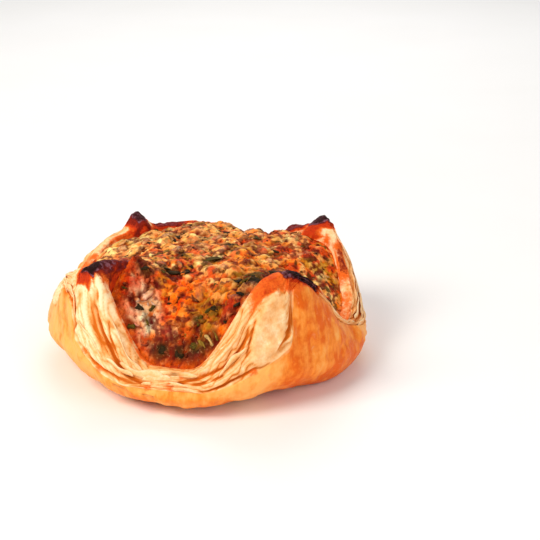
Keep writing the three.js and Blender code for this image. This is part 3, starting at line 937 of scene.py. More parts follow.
@dataclass
class PastryCase:
    """The cupped puff pastry: one closed skin from the base up the wall, over the lip and down inside."""

    form: Form
    columns: int = 760
    tuck_rows: int = 10
    skin_rows: int = 24
    layer_rows: int = 66
    lip_rows: int = 10
    inner_rows: int = 13
    floor_rows: int = 2
    groove_sets: Triples = (
        (0.06, 1.1, 0.07), (0.36, 0.9, 0.08), (0.64, 1.1, 0.09), (0.88, 0.5, 0.06))
    groove_drift: float = 0.06
    pleats: Sequence[tuple[int, float, float]] = ((5, 0.45, 0.4), (9, 0.35, 1.9), (17, 0.25, 0.9))
    leaf_sets: Sequence[tuple[float, float, float, float]] = ((4.6, 0.7, 0.45, 2.2), (11.0, 0.22, 0.14, 1.8))
    traced_from: float = 226.0
    traced_to: float = 318.0
    flank_width: float = 15.0
    blister_depths: Range = (0.3, 0.1)
    bubble_size: float = 7.5
    bubble_rise: float = 0.45
    char_depths: Range = (0.3, 0.35)
    fold_lump_size: float = 2.7
    fold_lump_rise: float = 1.3

    def sections(self) -> tuple[Array, Array, Named]:
        """The wall's section at every angle, and where each row lies on it.

        Returns:
            The angles, the points as rows by columns by three, and for each row by column: across (the
            open layers from 0 at the skin's edge to 1 at the rim, below 0 on the skin), height,
            inside (0 on the outer wall, rising to 1 from the rim over the lip), and outer (1 on the
            outer wall, fading to 0 over the lip).
        """
        form = self.form
        angle = np.arange(self.columns) * FULL_TURN / self.columns
        top_r, top_z = form.rim(angle)
        low_r, low_z = form.belly(angle)
        foot = form.foot(angle)
        edge = form.skin_edge(angle)
        rise = low_r - foot
        zero = np.zeros_like(angle)
        base = np.stack([np.stack([foot * share, zero], -1) for share in (1 / 3, 2 / 3)])
        tuck = cubic([(foot, zero), (foot + 0.25 * rise, 0.06 * low_z), (0.98 * low_r, 0.45 * low_z),
                      (low_r, low_z)], spaced(self.tuck_rows))
        skin_share = spaced(self.skin_rows)[:, None]
        skin_z = lerp(low_z, edge, skin_share)
        layer_share = spaced(self.layer_rows)[:, None]
        layer_z = lerp(edge, top_z, layer_share)
        lip_r, lip_z = form.lip(angle)
        over = top_r - lip_r
        lip = cubic([(top_r, top_z), (top_r - 0.3 * over, top_z),
                     (lip_r + 0.25 * over, lerp(lip_z, top_z, 0.45) + 0.3), (lip_r, lip_z)],
                    spaced(self.lip_rows))
        inner_share = spaced(self.inner_rows) ** 1.5
        inside = form.inner_wall(angle, inner_share)
        low = form.inner_wall(angle, np.array([1.0]))[0]
        floor_share = np.linspace(1, 0, self.floor_rows, endpoint=False)[:, None]
        floor = np.stack([low[:, 0] * floor_share, lerp(form.floor_height, low[:, 1], floor_share**2)], -1)
        skin = np.stack([form.wall_radius(angle, skin_z), skin_z], -1)
        layers = np.stack([form.wall_radius(angle, layer_z), layer_z], -1)
        parts = [base, tuck, skin, layers, lip, inside, floor]
        rows = np.concatenate(parts)
        starts = np.cumsum([0] + [len(p) for p in parts])
        across = np.full(rows.shape[:2], -3.0)
        across[starts[2]:starts[3]] = (skin_z - edge) / np.maximum(top_z - edge, 1.0)
        across[starts[3]:starts[4]] = layer_share
        across[starts[4]:] = 1.0
        back = np.zeros(rows.shape[:2])
        back[starts[4]:starts[5]] = spaced(self.lip_rows)[:, None]
        back[starts[5]:] = 1.0
        points = form.place(angle, rows[..., 0], rows[..., 1])
        outer = fall(back / 0.6)
        return angle, points, {"across": across, "height": rows[..., 1], "inside": back, "outer": outer}

    def flank(self, angle: Array, across: Array, height: Array) -> Array:
        """The share across the layers; by the left flank it is counted off from the flank's own deep gap."""
        path = smooth_path(LEFT_FLANK)
        above = np.where(height > np.interp(angle, *path.T), 1.0, -1.0)
        beside = 0.5 + above * path_distance(unroll(angle, height), unroll(*path.T))[0] / self.flank_width
        return lerp(across, beside, fall(np.abs(angle - 246.0), 10.0, 9.0))

    def arch(self, angle: Array, height: Array) -> Array:
        """1 where layers arch over the left end of the front left petal's skin, 0 off them."""
        low = np.interp(angle, *np.transpose(ARCH))
        return ease(height - low) * (angle > 190.0) * (angle < 223.0)

    def leaves(self, angle: Array, across: Array, height: Array) -> Pair:
        """Thin layers stacked across the band, each with its own height, and narrow valleys between them.

        Two sets are laid over each other. A set's phase is across times its count, shifted by noise, and
        each layer is 1 less the distance from its middle to a high power.

        Returns:
            The relief in millimetres, and how deep in a valley each point is from 0 to 1, which sets painted
            shade.
        """
        ring = drum(angle, 50.0, height * 0.5)
        relief = np.zeros(across.shape)
        valley = np.zeros(across.shape)
        for i, (count, rise, depth, power) in enumerate(self.leaf_sets):
            shift = 1.1 * cloud(ring, 15.0, 11 + i) + 0.4 * cloud(ring, 4.5, 14 + i)
            phase = across * count + shift + 0.12 * cloud(ring, 1.6, 17 + i)
            number = np.floor(phase)
            level = cloud(drum(angle, 25.0, number * 9.0), 6.0, 21 + i)
            sides = np.abs(2.0 * (phase - number) - 1.0) ** power
            relief += rise * level * (1.0 - sides) - depth * sides
            valley = np.maximum(valley, (1.0 - 0.25 * i) * sides**1.5 * (0.6 - 0.4 * level))
        return relief, valley

    def wrinkles(self, angle: Array, height: Array) -> Array:
        """Soft wrinkles in the skin: ridges of noise that is stretched up the wall and leans to one side."""
        ring = drum(angle + 0.55 * height, UNROLL_RADIUS, height * 0.25)
        ridge = 1.0 - 2.0 * np.abs(cloud(ring, 8.0, 27))
        return 0.75 * ridge * (0.6 + 0.5 * cloud(ring, 20.0, 29))

    def traced(self, angle: Array) -> Array:
        """How far the listed creases take over from the even grooves: 1 over the front."""
        middle = (self.traced_from + self.traced_to) / 2
        half = (self.traced_to - self.traced_from) / 2
        return fall((np.abs(turn(angle - middle)) - half) / 8.0)

    def creases(self, angle: Array, height: Array) -> Pair:
        """The listed creases as relief, and as how deep in a gap each point is.

        A crease is a bell across its path: depth times e to the minus square of the distance over its
        width, faded out towards both ends.
        """
        unrolled = unroll(angle, height)
        relief = np.zeros(height.shape)
        gap = np.zeros(height.shape)
        for crease in FRONT_CREASES.values():
            distance, along = path_distance(unrolled, unroll(*smooth_path(crease.path).T))
            fade = np.clip(np.sin(np.pi * np.clip(along, 0.02, 0.98)), 0.0, 1.0) ** 0.45
            strength = fade * np.exp(-((distance / crease.width) ** 2))
            relief -= crease.depth * strength
            if crease.depth > 0:
                gap = np.maximum(gap, strength * min(1.0, 0.45 + 0.35 * crease.depth))
            else:
                gap -= 0.5 * strength * (gap < 0.2)
        return relief, gap

    def oval(self, angle: Array, height: Array) -> Array:
        """1 on the smooth oval face of the front right petal, an ellipse on the unrolled wall, 0 off it."""
        x = np.radians(turn(angle - OVAL_MIDDLE[0])) * UNROLL_RADIUS
        z = height - OVAL_MIDDLE[1]
        tilt = math.radians(OVAL_TILT)
        along = z * math.cos(tilt) + x * math.sin(tilt)
        beside = x * math.cos(tilt) - z * math.sin(tilt)
        distance = np.sqrt((beside / OVAL_HALF[0]) ** 2 + (along / OVAL_HALF[1]) ** 2)
        return fall(distance, 0.82, 0.24)

    def burns(self, angle: Array, place: Named, points: Array) -> Pair:
        """How burnt and how toasted each point is: by its depth below the rim near each burnt stretch."""
        below = self.form.rim(angle)[1] - place["height"]
        ragged = 1.0 + (0.13 + 0.4 * bell(angle, 85.0, 60.0)) * cloud(points, 3.0, 61)
        crest = 1.0 - ease(place["inside"], 0.22, 0.3) * bell(angle, TONGUES[0].at, 16.0)
        char = np.zeros_like(below)
        toast = np.zeros_like(below)
        for burn in BURNS:
            wide = np.abs(turn(angle - burn.at))
            side = fall(wide / burn.width * ragged, 0.55, 0.6)
            down = fall(below / burn.depth * ragged, 0.6, 0.6)
            char = np.maximum(char, burn.strength * side * down * crest)
            side = fall(wide / burn.toast_width * ragged, 0.6, 0.5)
            down = fall(below / burn.toast_depth * ragged, 0.7, 0.4)
            toast = np.maximum(toast, burn.redness * side * down)
        return char, toast

    def fold_burn(self, angle: Array, place: Named, points: Array) -> Array:
        """The burnt crest of the fold that runs inwards from the front left tip."""
        fold = TONGUES[0]
        on_crest = bell(angle, fold.at + 1.5, 6.5) * (place["inside"] > 0)
        below = self.form.rim(angle)[1] - place["height"]
        mottled = 0.6 + 0.16 * cloud(points, 2.0, 62)
        return mottled * on_crest * fall(below, 3.4, 2.4)

    def grooves(self, angle: Array, across: Array) -> Array:
        """The depth of the even grooves between the layers, which drift up and down."""
        total = np.zeros_like(across)
        for i, (at, depth, width) in enumerate(self.groove_sets):
            drift = self.groove_drift * np.sin(np.radians(angle * (3 + i) + 80 * i))
            total += depth * np.exp(-(((across - at - drift) / width) ** 2))
        return total

    def skin(self, angle: Array, height: Array, points: Array) -> Array:
        """The relief of the smooth skin: pleats, wrinkles, and bubbles on some cells."""
        pleat = sum(d * np.sin(np.radians(angle) * n + phase) for n, d, phase in self.pleats)
        pleat = pleat + self.wrinkles(angle, height)
        bubble = cells(points, self.bubble_size, 45)
        return pleat * 0.7 + self.bubble_rise * bubble.caps(0.45) * (bubble.number > 0.72)

    def toasting(self, angle: Array, place: Named, points: Array) -> Array:
        """How toasted the lip's inside, the front left fold and the wall's spots are."""
        height, inside = place["height"], place["inside"]
        inner = ease((inside - lerp(0.35, 0.0, bell(angle, 270.0, 26.0))) / 0.5)
        edge_z = self.form.rim(angle)[1] - 1.0
        left = fall(np.abs(turn(angle - 188.0)), 20.0, 22.0)
        right = fall(np.abs(turn(angle - 15.0)), 36.0, 20.0)
        baked = (0.35 + 0.6 * ease((edge_z - height) / 5.0)) * (1.0 - 0.85 * left) * (1.0 - 0.75 * right)
        toast = inner * (baked + 0.25 * cloud(points, 3.5, 33))
        toast = np.maximum(toast, 0.85 * bell(angle, TONGUES[0].at, 8.0) * ease(inside, 0.05, 0.3))
        for spot in SPOTS:
            x = np.radians(turn(angle - spot.at)) * UNROLL_RADIUS
            distance = np.sqrt(x**2 + (height - spot.height) ** 2) / spot.radius
            toast = np.maximum(toast, spot.strength * fall(distance - 0.3) * place["outer"])
        return toast

    def build(self) -> Thing:
        """Builds the case, with its relief pushed out along the wall's own outward direction."""
        angle, points, place = self.sections()
        across, height, inside, outer = place.values()
        normals = grid_normals(points)
        wide = np.broadcast_to(angle, height.shape)
        on_layers = np.maximum(ease(across, -0.04, 0.06), self.arch(wide, height)) * outer
        on_skin = ease(height, 1.0, 3.0) * (1.0 - on_layers) * outer
        traced = self.traced(angle)
        oval = self.oval(wide, height) * outer
        crease_relief, crease_gap = self.creases(wide, height)
        fade = fall(across, 0.85, 0.15)
        grooves = self.grooves(angle, across) * fade * on_layers * (1.0 - 0.9 * traced)
        flank = self.flank(wide, across, height)
        leaf, valley = self.leaves(wide, flank, height)
        leaf_strength = on_layers * (1.0 - 0.8 * oval)
        tuck = ease(height / 6.0)
        broad, fine = self.blister_depths
        blister = broad * cloud(points, 7.0, 21, 3) + fine * cloud(points, 1.7, 22)
        relief = -grooves + crease_relief * outer * np.maximum(on_layers, 0.6 * on_skin)
        relief += leaf * leaf_strength + (OVAL_RISE + 0.3 * cloud(points, 4.0, 35, 3)) * oval
        relief += (0.35 * on_layers * (1.0 - traced) + 0.3 * on_layers * traced) * fade
        relief += on_skin * self.skin(wide, height, points) * tuck
        relief += blister * tuck * (0.5 + 0.5 * on_skin) * np.where(inside > 0.9, 0.5, 1.0)
        relief += 0.22 * cloud(points, 3.2, 24) * on_layers
        char, toast = self.burns(angle, place, points)
        char = np.maximum(char, self.fold_burn(angle, place, points))
        crust = ease(char) + 0.5 * ease(toast)
        broad, fine = self.char_depths
        relief += (fine * cloud(points, 2.6, 25, 3) + broad * cloud(points, 6.0, 26)) * crust
        lumps = cells(points, self.fold_lump_size, 27).caps(0.75) - 0.4
        relief += self.fold_lump_rise * lumps * bell(wide, TONGUES[0].at, 6.0) * ease(inside / 0.3)
        points = points + normals * relief[..., None]
        toast = np.maximum(toast, self.toasting(angle, place, points))
        pale = np.maximum(bell(wide, 241.0, 13.0), self.arch(wide, height)) * outer
        # painted shade: the gap mask is darker in creases, grooves and leaf valleys, lighter on raised
        # layers; it is also darker everywhere but the pale left flank, mottled on the oval and darker at the
        # front top
        gap = np.clip(crease_gap, -0.3, 1.0) + 0.5 * grooves + 0.7 * valley * leaf_strength
        mottle = 0.14 + 0.22 * cloud(points, 3.4, 36, 3)
        gap = gap * (1.0 - 0.85 * oval) + mottle * oval + 0.24 * (1.0 - pale)
        gap += 0.3 * bell(wide, 272.0, 16.0) * ease(across, 0.75, 0.25)
        deep = 0.12 + 0.75 * self.browning(wide, height) + 0.2 * cloud(points, 16.0, 31)
        flow = drum(wide, UNROLL_RADIUS, height * 0.3)
        grain = drum(wide, GRAIN_RADIUS, flank * self.flank_width + inside * 3.0)
        crisp = 0.75 * on_layers * (1.0 - 0.6 * oval) * (0.7 + 0.5 * cloud(points, 9.0, 34))
        values = {"layer": self.layer_mask(wide, place), "gap": gap, "char": char, "toast": toast,
                  "deep": deep, "flow": flow, "grain": grain, "crisp": np.clip(crisp, 0.0, 1.0)}
        return self.close(points, values)

    def layer_mask(self, angle: Array, place: Named) -> Array:
        """1 where cut layers show: above the skin's edge and on the lip, and beside the oval."""
        layer = ease(place["across"], -0.03, 0.05)
        path = unroll(*smooth_path(FRONT_CREASES["pale layer beyond the oval"].path).T)
        distance = path_distance(unroll(angle, place["height"]), path)[0]
        beside = 0.4 * fall(distance, 0.2, 2.4)
        return np.maximum(np.maximum(layer, beside), self.arch(angle, place["height"]))

    def browning(self, angle: Array, height: Array) -> Array:
        """How much darker the skin is: most over the front right petal and lower down there, least at the
        left.
        """
        right = fall(np.abs(turn(angle - 335.0)), 14.0, 22.0)
        rear = fall(np.abs(turn(angle - 70.0)), 20.0, 60.0)
        low = fall(height, 4.0, 14.0)
        front = fall(np.abs(turn(angle - 268.0)), 12.0, 26.0)
        return right * (0.8 + 0.3 * low) + 0.6 * rear + 0.35 * front

    def close(self, points: Array, values: Named) -> Thing:
        """Adds the two points on the axis that close the grid, and writes the mesh."""
        x, y = self.form.middle
        first, last = np.array([[[-x, -y, 0.0]], [[-x, -y, self.form.floor_height]]])
        rows, columns = points.shape[:2]
        all_points = np.concatenate([first, points.reshape(-1, 3), last])
        carried = {}
        for name, value in values.items():
            flat = value.reshape(rows * columns, *value.shape[2:])
            carried[name] = np.concatenate([flat[:1], flat, flat[-1:]])
        all_points[:, 2] = np.maximum(all_points[:, 2], 0.0)
        return write_mesh("puff_case", all_points, ring_faces(rows, columns), values=carried)


@dataclass
class FlakyLeaves:
    """Thin leaves of pastry that lift off the open layers: ribbons along the layers, curled at one edge."""

    form: Form
    count: int = 64
    thickness: float = 0.34
    width: Range = (0.9, 2.3)
    length: Range = (7.0, 20.0)
    lift: Range = (0.15, 0.55)
    section: Path = ((0.0, -0.35), (0.5, 0.25), (1.0, 1.0))
    # painted shade: each leaf darker on its side towards the wall and along its lower edge, lightest at its
    # lifted edge
    gap_shades: Sequence[float] = (0.5, 0.35, 0.15, 0.15, 0.6, 0.8)
    steps: int = 30
    seed: int = 5

    def leaf(self, draw: Dice, parts: Gathered) -> None:
        """One leaf: a strip that follows the wall at an even share across, lifted towards its upper edge."""
        corner = CORNERS[draw.integers(len(CORNERS))]
        flank = float(draw.choice([-1.0, 1.0]))
        middle = corner.at + flank * draw.uniform(4.0, 36.0)
        half = math.degrees(draw.uniform(*self.length) / 2 / UNROLL_RADIUS)
        across = draw.uniform(0.08, 0.9)
        slope = draw.uniform(-0.10, 0.10)
        width = draw.uniform(*self.width)
        lift = draw.uniform(*self.lift)
        wave = draw.uniform(0, math.tau)
        along = np.linspace(-1, 1, self.steps)
        angle = middle + half * along
        share = np.clip(across + slope * along + 0.02 * np.sin(3 * along + wave), 0.02, 0.97)
        taper = np.sqrt(np.clip(1.0 - along**2, 0.0, 1.0)) * 0.9 + 0.1
        edge, top = self.form.skin_edge(angle), self.form.rim(angle)[1]
        low_z = lerp(edge, top, share)
        width_here = width * taper * (1.0 + 0.2 * np.sin(5 * along + wave))
        rise = lift * taper * (1.0 + 0.4 * np.sin(4 * along + 2 * wave))
        half_thick = self.thickness / 2 * taper
        outer = [(up, out, 1.0) for up, out in self.section]
        inner = [(up, out, -1.0) for up, out in self.section[::-1]]
        profile = []
        for up, out, side in outer + inner:
            z = np.minimum(low_z + up * width_here, top - 0.2)
            radius = self.form.wall_radius(angle, z) + out * rise + side * half_thick
            profile.append(self.form.place(angle, radius, z))
        points = np.stack(profile, axis=1)
        gap = np.broadcast_to(np.array(self.gap_shades), points.shape[:2])
        parts.add(points.reshape(-1, 3), tube_faces(self.steps, len(profile)), gap=gap.reshape(-1))

    def build(self) -> Thing:
        """Joins all the leaves in one mesh."""
        draw = np.random.default_rng(self.seed)
        parts = Gathered()
        for _ in range(self.count):
            self.leaf(draw, parts)
        joined, total = parts.joined(), parts.total
        x, y, z = joined["points"].T
        angle = np.degrees(np.arctan2(y, x))
        below = self.form.rim(angle)[1] - z
        toast = np.zeros(total)
        char = np.zeros(total)
        for burn in BURNS:
            wide = np.abs(turn(angle - burn.at))
            near = fall(below / burn.toast_depth - 0.4)
            toast = np.maximum(toast, burn.redness * near * fall(wide / burn.toast_width - 0.4))
            near = burn.strength * fall(below / burn.depth - 0.4)
            char = np.maximum(char, near * fall(wide / burn.width - 0.4))
        flow = drum(angle, UNROLL_RADIUS, z * 0.3)
        grain = drum(angle, GRAIN_RADIUS, z * 0.6)
        values = {"layer": np.ones(total), "gap": joined["gap"], "char": char, "toast": toast,
                  "deep": np.full(total, 0.4), "flow": flow, "grain": grain, "crisp": np.full(total, 0.5)}
        return write_mesh("flaky_leaves", joined["points"], joined["faces"], values=values)


class Draws:
    """The same repeatable stream of numbers from 0 to 1 that the frame's filling was made with."""

    def __init__(self, seed: int) -> None:
        """Starts the stream."""
        self.state = seed % 2**32

    def next(self) -> float:
        """Multiplies the last number, adds to it, and keeps its lowest 32 bits."""
        self.state = (self.state * 1664525 + 1013904223) % 2**32
        return self.state / 2**32

    def between(self, low: float, high: float) -> float:
        """A number between two others."""
        return low + (high - low) * self.next()


class Tone(Enum):
    """The colours of the filling."""

    GOLD = "#F08C2C"
    ORANGE = "#F46A02"
    PEACH = "#FCAC6C"
    RED = "#CA3606"
    MAROON = "#5E100A"
    PINK = "#FFD4B8"
    PALE = "#F4C282"
    OLIVE = "#A07410"
    GREEN = "#3C2E06"
    BURNT = "#340A0A"
    PLUM = "#782A30"

    @property
    def rgb(self) -> Array:
        """The linear red, green and blue."""
        return np.array(linear(self.value)[:3])


@dataclass(frozen=True)
class Patch:
    """A stretch of the filling that leans to one tone: its place, radius, tone and strength."""

    x: float
    y: float
    radius: float
    tone: Tone
    strength: float = 0.8


PATCHES = (
    Patch(-34.0, 20.0, 12.0, Tone.PALE, 0.6), Patch(-10.0, 8.0, 15.0, Tone.PEACH, 0.3),
    Patch(-37.5, 25.0, 5.0, Tone.OLIVE, 0.7), Patch(-38.0, 2.0, 9.0, Tone.PEACH, 0.6),
    Patch(0.0, 28.0, 20.0, Tone.PEACH, 0.35), Patch(22.0, 20.0, 12.0, Tone.RED, 0.4),
    Patch(20.0, -8.0, 9.0, Tone.GOLD, 0.6), Patch(22.0, -20.5, 7.5, Tone.OLIVE, 0.9),
    Patch(25.5, -21.5, 5.5, Tone.GREEN, 1.0), Patch(28.0, -9.0, 6.0, Tone.GREEN, 0.9),
    Patch(27.0, -17.0, 4.5, Tone.BURNT, 0.95), Patch(23.5, -25.5, 3.0, Tone.BURNT, 0.8),
    Patch(5.0, -27.5, 7.5, Tone.ORANGE, 0.8), Patch(-2.0, -30.5, 5.5, Tone.ORANGE, 0.95),
    Patch(7.5, -29.0, 4.5, Tone.OLIVE, 0.7), Patch(13.5, -36.0, 6.0, Tone.OLIVE, 0.75),
    Patch(7.0, -36.0, 3.0, Tone.GREEN, 0.6), Patch(19.0, -34.5, 3.8, Tone.RED, 1.0),
    Patch(20.5, -32.0, 2.6, Tone.MAROON, 0.9), Patch(23.0, -41.0, 3.5, Tone.RED, 0.9),
    Patch(17.0, -37.0, 4.0, Tone.MAROON, 0.4), Patch(16.5, -40.0, 2.2, Tone.ORANGE, 0.8),
    # pinkish crust at the front left, lightened to a painted glossy highlight
    Patch(-12.6, -38.8, 4.8, Tone.PINK, 1.4), Patch(-15.0, -42.0, 3.4, Tone.PINK, 1.3),
    Patch(-14.5, -33.6, 3.6, Tone.PINK, 1.0), Patch(-8.6, -35.0, 2.6, Tone.PINK, 0.8),
    Patch(-16.5, -30.5, 3.6, Tone.RED, 0.7), Patch(-19.5, -37.0, 1.8, Tone.PLUM, 0.8),
    Patch(-24.0, -22.5, 4.6, Tone.PLUM, 1.0), Patch(-19.0, -28.0, 3.2, Tone.RED, 0.8),
    Patch(-16.0, -22.0, 4.5, Tone.PEACH, 0.8), Patch(-17.0, -26.0, 1.6, Tone.BURNT, 0.9),
    Patch(-28.0, -9.0, 6.0, Tone.PLUM, 0.8), Patch(-30.3, -4.6, 2.5, Tone.MAROON, 0.8),
    Patch(-22.0, -33.5, 5.5, Tone.RED, 1.4), Patch(-19.5, -38.0, 3.0, Tone.RED, 1.0),
    Patch(-24.0, -31.0, 3.0, Tone.ORANGE, 0.9), Patch(-20.5, -35.5, 1.6, Tone.ORANGE, 1.0),
    Patch(-15.6, -38.0, 1.7, Tone.BURNT, 1.4), Patch(-10.5, -46.0, 3.5, Tone.RED, 0.9),
    Patch(-4.8, -35.2, 2.4, Tone.RED, 0.7), Patch(0.0, -38.6, 2.4, Tone.MAROON, 0.8),
    Patch(-1.5, -40.6, 1.6, Tone.PLUM, 0.7), Patch(4.5, -41.0, 2.6, Tone.ORANGE, 0.7),
    Patch(-4.0, -41.5, 2.2, Tone.RED, 0.6), Patch(2.5, -45.2, 4.0, Tone.BURNT, 1.6),
    Patch(-3.8, -45.4, 3.6, Tone.BURNT, 1.6), Patch(8.7, -44.2, 3.7, Tone.BURNT, 1.5),
    Patch(-16.5, -42.5, 4.0, Tone.RED, 0.9), Patch(14.0, -43.5, 3.0, Tone.MAROON, 0.8),
    Patch(2.0, -48.0, 4.0, Tone.RED, 0.7),
)


@dataclass(frozen=True)
class Pit:
    """A burst bubble in the crust: its place and radius."""

    x: float
    y: float
    radius: float


PITS = (
    Pit(-6.9, -21.4, 1.7), Pit(-9.8, -27.7, 1.2), Pit(-19.3, -16.8, 1.1), Pit(-16.5, -12.9, 1.0),
    Pit(-5.7, -13.6, 1.1), Pit(-0.7, -27.7, 1.0), Pit(-12.1, 7.2, 1.1), Pit(-25.8, 18.1, 1.2),
)


class Leek(Enum):
    """How a strip of leek is coloured: its own colour and that of its veins."""

    DARK = ("#1E1306", "#3C2C10")
    GREEN = ("#40320A", "#6C5818")
    OLIVE = ("#6E5414", "#9C7C30")
    PALE = ("#A88440", "#D4B070")


@dataclass(frozen=True)
class Strip:
    """A large strip of leek that shows on top: its place, heading, length, width and kind."""

    x: float
    y: float
    heading: float
    length: float
    width: float
    kind: Leek = Leek.DARK


STRIPS = (
    Strip(-8.5, -18.0, 15, 8.0, 2.6), Strip(-3.2, -16.8, 20, 4.0, 2.8),
    Strip(3.0, -6.5, 30, 9.5, 2.2, Leek.GREEN),
    Strip(17.0, -20.8, 70, 4.6, 2.8), Strip(21.5, -16.5, 20, 7.0, 2.6, Leek.GREEN),
    Strip(26.0, -4.5, 0, 6.0, 2.8), Strip(12.3, -32.8, 10, 3.6, 1.8),
    Strip(-14.6, -27.0, 40, 3.8, 2.4), Strip(-14.6, -43.0, 20, 3.4, 1.9, Leek.GREEN),
    Strip(-10.0, -39.0, 120, 3.6, 1.1, Leek.GREEN), Strip(-3.4, -44.0, 10, 3.4, 2.4),
    Strip(2.9, -44.4, 0, 3.2, 2.2), Strip(7.8, -42.0, 30, 3.6, 2.1, Leek.GREEN),
    Strip(12.4, -41.2, 130, 5.0, 1.3, Leek.PALE), Strip(10.4, -41.8, 125, 4.6, 1.1, Leek.OLIVE),
    Strip(14.4, -40.4, 128, 4.4, 1.0, Leek.OLIVE), Strip(-16.5, 15.0, 10, 4.4, 2.6),
    Strip(-7.6, 9.6, 25, 4.6, 2.8), Strip(-4.6, 16.0, 60, 5.6, 2.2, Leek.GREEN),
    Strip(6.0, 9.0, 100, 4.0, 1.9), Strip(8.6, 4.4, 0, 3.8, 1.8, Leek.GREEN),
    Strip(13.4, 18.0, 15, 4.8, 2.6, Leek.GREEN), Strip(-15.2, -1.0, 20, 4.6, 1.8, Leek.OLIVE),
    Strip(-36.5, 26.0, 0, 4.0, 2.2, Leek.OLIVE), Strip(22.0, -31.0, 160, 6.5, 1.7),
    Strip(24.5, -22.5, 30, 7.0, 2.6), Strip(6.8, -35.4, 60, 3.4, 2.0, Leek.GREEN),
)


# Crust that boiled up at the rim, as bells: the angle and half width in degrees, and the height of each
BOILS = ((180.0, 30.0, 2.7), (92.0, 23.0, 3.7), (15.0, 30.0, 1.4))

# Crust that rose against the folded tips, as bells: the x, y, radius and height of each
MOUNDS = ((-15.5, -23.5, 6.5, 4.4), (-19.0, -28.0, 4.2, 4.4), (-21.0, -33.5, 4.0, 3.2),
          (-28.0, -20.0, 6.0, 3.6))


@dataclass
class Filling:
    """The baked filling's form and colours, shared by the crust and all that lies on it."""

    form: Form
    seed: int = 20417
    dome_height: float = 36.6
    dome_flatness: float = 2.9
    lump_count: int = 96
    lump_spread: float = 47.0
    lump_radius: Range = (3.6, 6.2)
    lump_height: Range = (0.7, 1.9)
    gap: float = 0.65
    table_size: int = 1440

    def __post_init__(self) -> None:
        """Works out the edge once for a ring of angles, and draws the frame's lumps."""
        self.table_angle = np.arange(self.table_size + 1) * FULL_TURN / self.table_size
        self.table_r, self.table_z = self.form.fill_edge(self.table_angle)
        draws = Draws(self.seed)
        self.lumps = []
        for i in range(self.lump_count):
            r = self.lump_spread * math.sqrt((i + 0.5) / self.lump_count)
            theta = math.radians(i * GOLDEN_ANGLE)
            radius = draws.between(*self.lump_radius)
            height = draws.between(*self.lump_height)
            self.lumps.append((r * math.cos(theta), r * math.sin(theta), radius, height))

    def edge(self, angle: Array) -> Pair:
        """The radius and height of the filling's edge at any angle."""
        angle = np.asarray(angle, float) % FULL_TURN
        return (np.interp(angle, self.table_angle, self.table_r),
                np.interp(angle, self.table_angle, self.table_z))

    def top(self, angle: Array, radius: Array) -> Array:
        """The height of the top: a broad dome that falls to the edge, with the frame's lumps."""
        edge_r, edge_z = self.edge(angle)
        out = np.minimum(radius / edge_r, 1.0)
        theta = np.radians(angle)
        x, y = radius * np.cos(theta), radius * np.sin(theta)
        dome = lerp(edge_z, self.dome_height, 1.0 - out**self.dome_flatness)
        bumps = np.zeros(np.shape(radius))
        for lump_x, lump_y, lump_r, lump_h in self.lumps:
            share = ((x - lump_x) ** 2 + (y - lump_y) ** 2) / lump_r**2
            bumps = np.maximum(bumps, lump_h * (1.0 - share))
        extra = self.mounds(x, y) + self.brim(angle, out)
        return dome + bumps * fall(out, 0.86, 0.14) + extra

    def brim(self, angle: Array, share: Array) -> Array:
        """How much higher the crust stands by the rim than the frame's filling."""
        boiled = sum(height * bell(angle, at, width) for at, width, height in BOILS)
        return ease(share, 0.66, 0.24) * boiled

    def mounds(self, x: Array, y: Array) -> Array:
        """The height of the mounds: bells over their middles."""
        return sum(h * np.exp(-((x - u) ** 2 + (y - v) ** 2) / r**2) for u, v, r, h in MOUNDS)

    def leek_halo(self, points: Array) -> Array:
        """How near a large strip of leek each point is: 1 under it, falling off in an oval round it."""
        halo = np.zeros(points.shape[:-1])
        for strip in STRIPS:
            turned = math.radians(strip.heading)
            x, y = points[..., 0] - strip.x, points[..., 1] - strip.y
            along = (x * math.cos(turned) + y * math.sin(turned)) / (strip.length / 2 + 0.7)
            beside = (y * math.cos(turned) - x * math.sin(turned)) / (strip.width / 2 + 0.6)
            halo = np.maximum(halo, np.exp(-((along**2 + beside**2) ** 1.5)))
        return halo

    def paint(self, points: Array) -> Array:
        """The crust's colour before its relief shades it: soft blots of each tone, then the placed patches.

        A blot's share is noise times its sharpness plus its lean, eased from 0 to 1. Maroon flecks come
        last, and the whole is a little greener towards the back.

        Returns:
            Linear red, green and blue for each point.
        """
        colour = np.broadcast_to(Tone.GOLD.rgb, points.shape).copy()
        blots = ((Tone.ORANGE, 4.5, 1.1, 0.6, 0.9), (Tone.PEACH, 3.4, 1.7, 0.35, 0.8),
                 (Tone.PALE, 4.0, 1.8, 0.0, 0.7), (Tone.OLIVE, 4.2, 2.2, -0.15, 0.75),
                 (Tone.RED, 3.0, 2.3, 0.05, 0.9), (Tone.MAROON, 2.4, 3.6, -1.1, 0.9),
                 (Tone.GREEN, 2.2, 3.8, -1.3, 0.9))
        for i, (tone, size, sharpness, lean, strength) in enumerate(blots):
            share = strength * ease(lean + sharpness * cloud(points, size, 90 + 3 * i, 2))
            colour = lerp(colour, tone.rgb, share[..., None])
        ragged = [1.0 + 0.8 * cloud(points, 2.2, 120 + 3 * k, 2) for k in range(3)]
        for i, patch in enumerate(PATCHES):
            away = np.hypot(points[..., 0] - patch.x, points[..., 1] - patch.y) / patch.radius
            share = np.clip(patch.strength * np.exp(-away**2) * ragged[i % 3], 0.0, 1.0)
            colour = lerp(colour, patch.tone.rgb, share[..., None])
        flecks = 0.8 * ease(5.0 * cloud(points, 1.8, 140) - 1.7)
        colour = lerp(colour, Tone.MAROON.rgb, flecks[..., None])
        rear = ease(points[..., 1:2], -14.0, 24.0)
        return colour * lerp(np.array([1.0, 0.97, 0.88]), np.array([1.02, 1.13, 1.0]), rear)


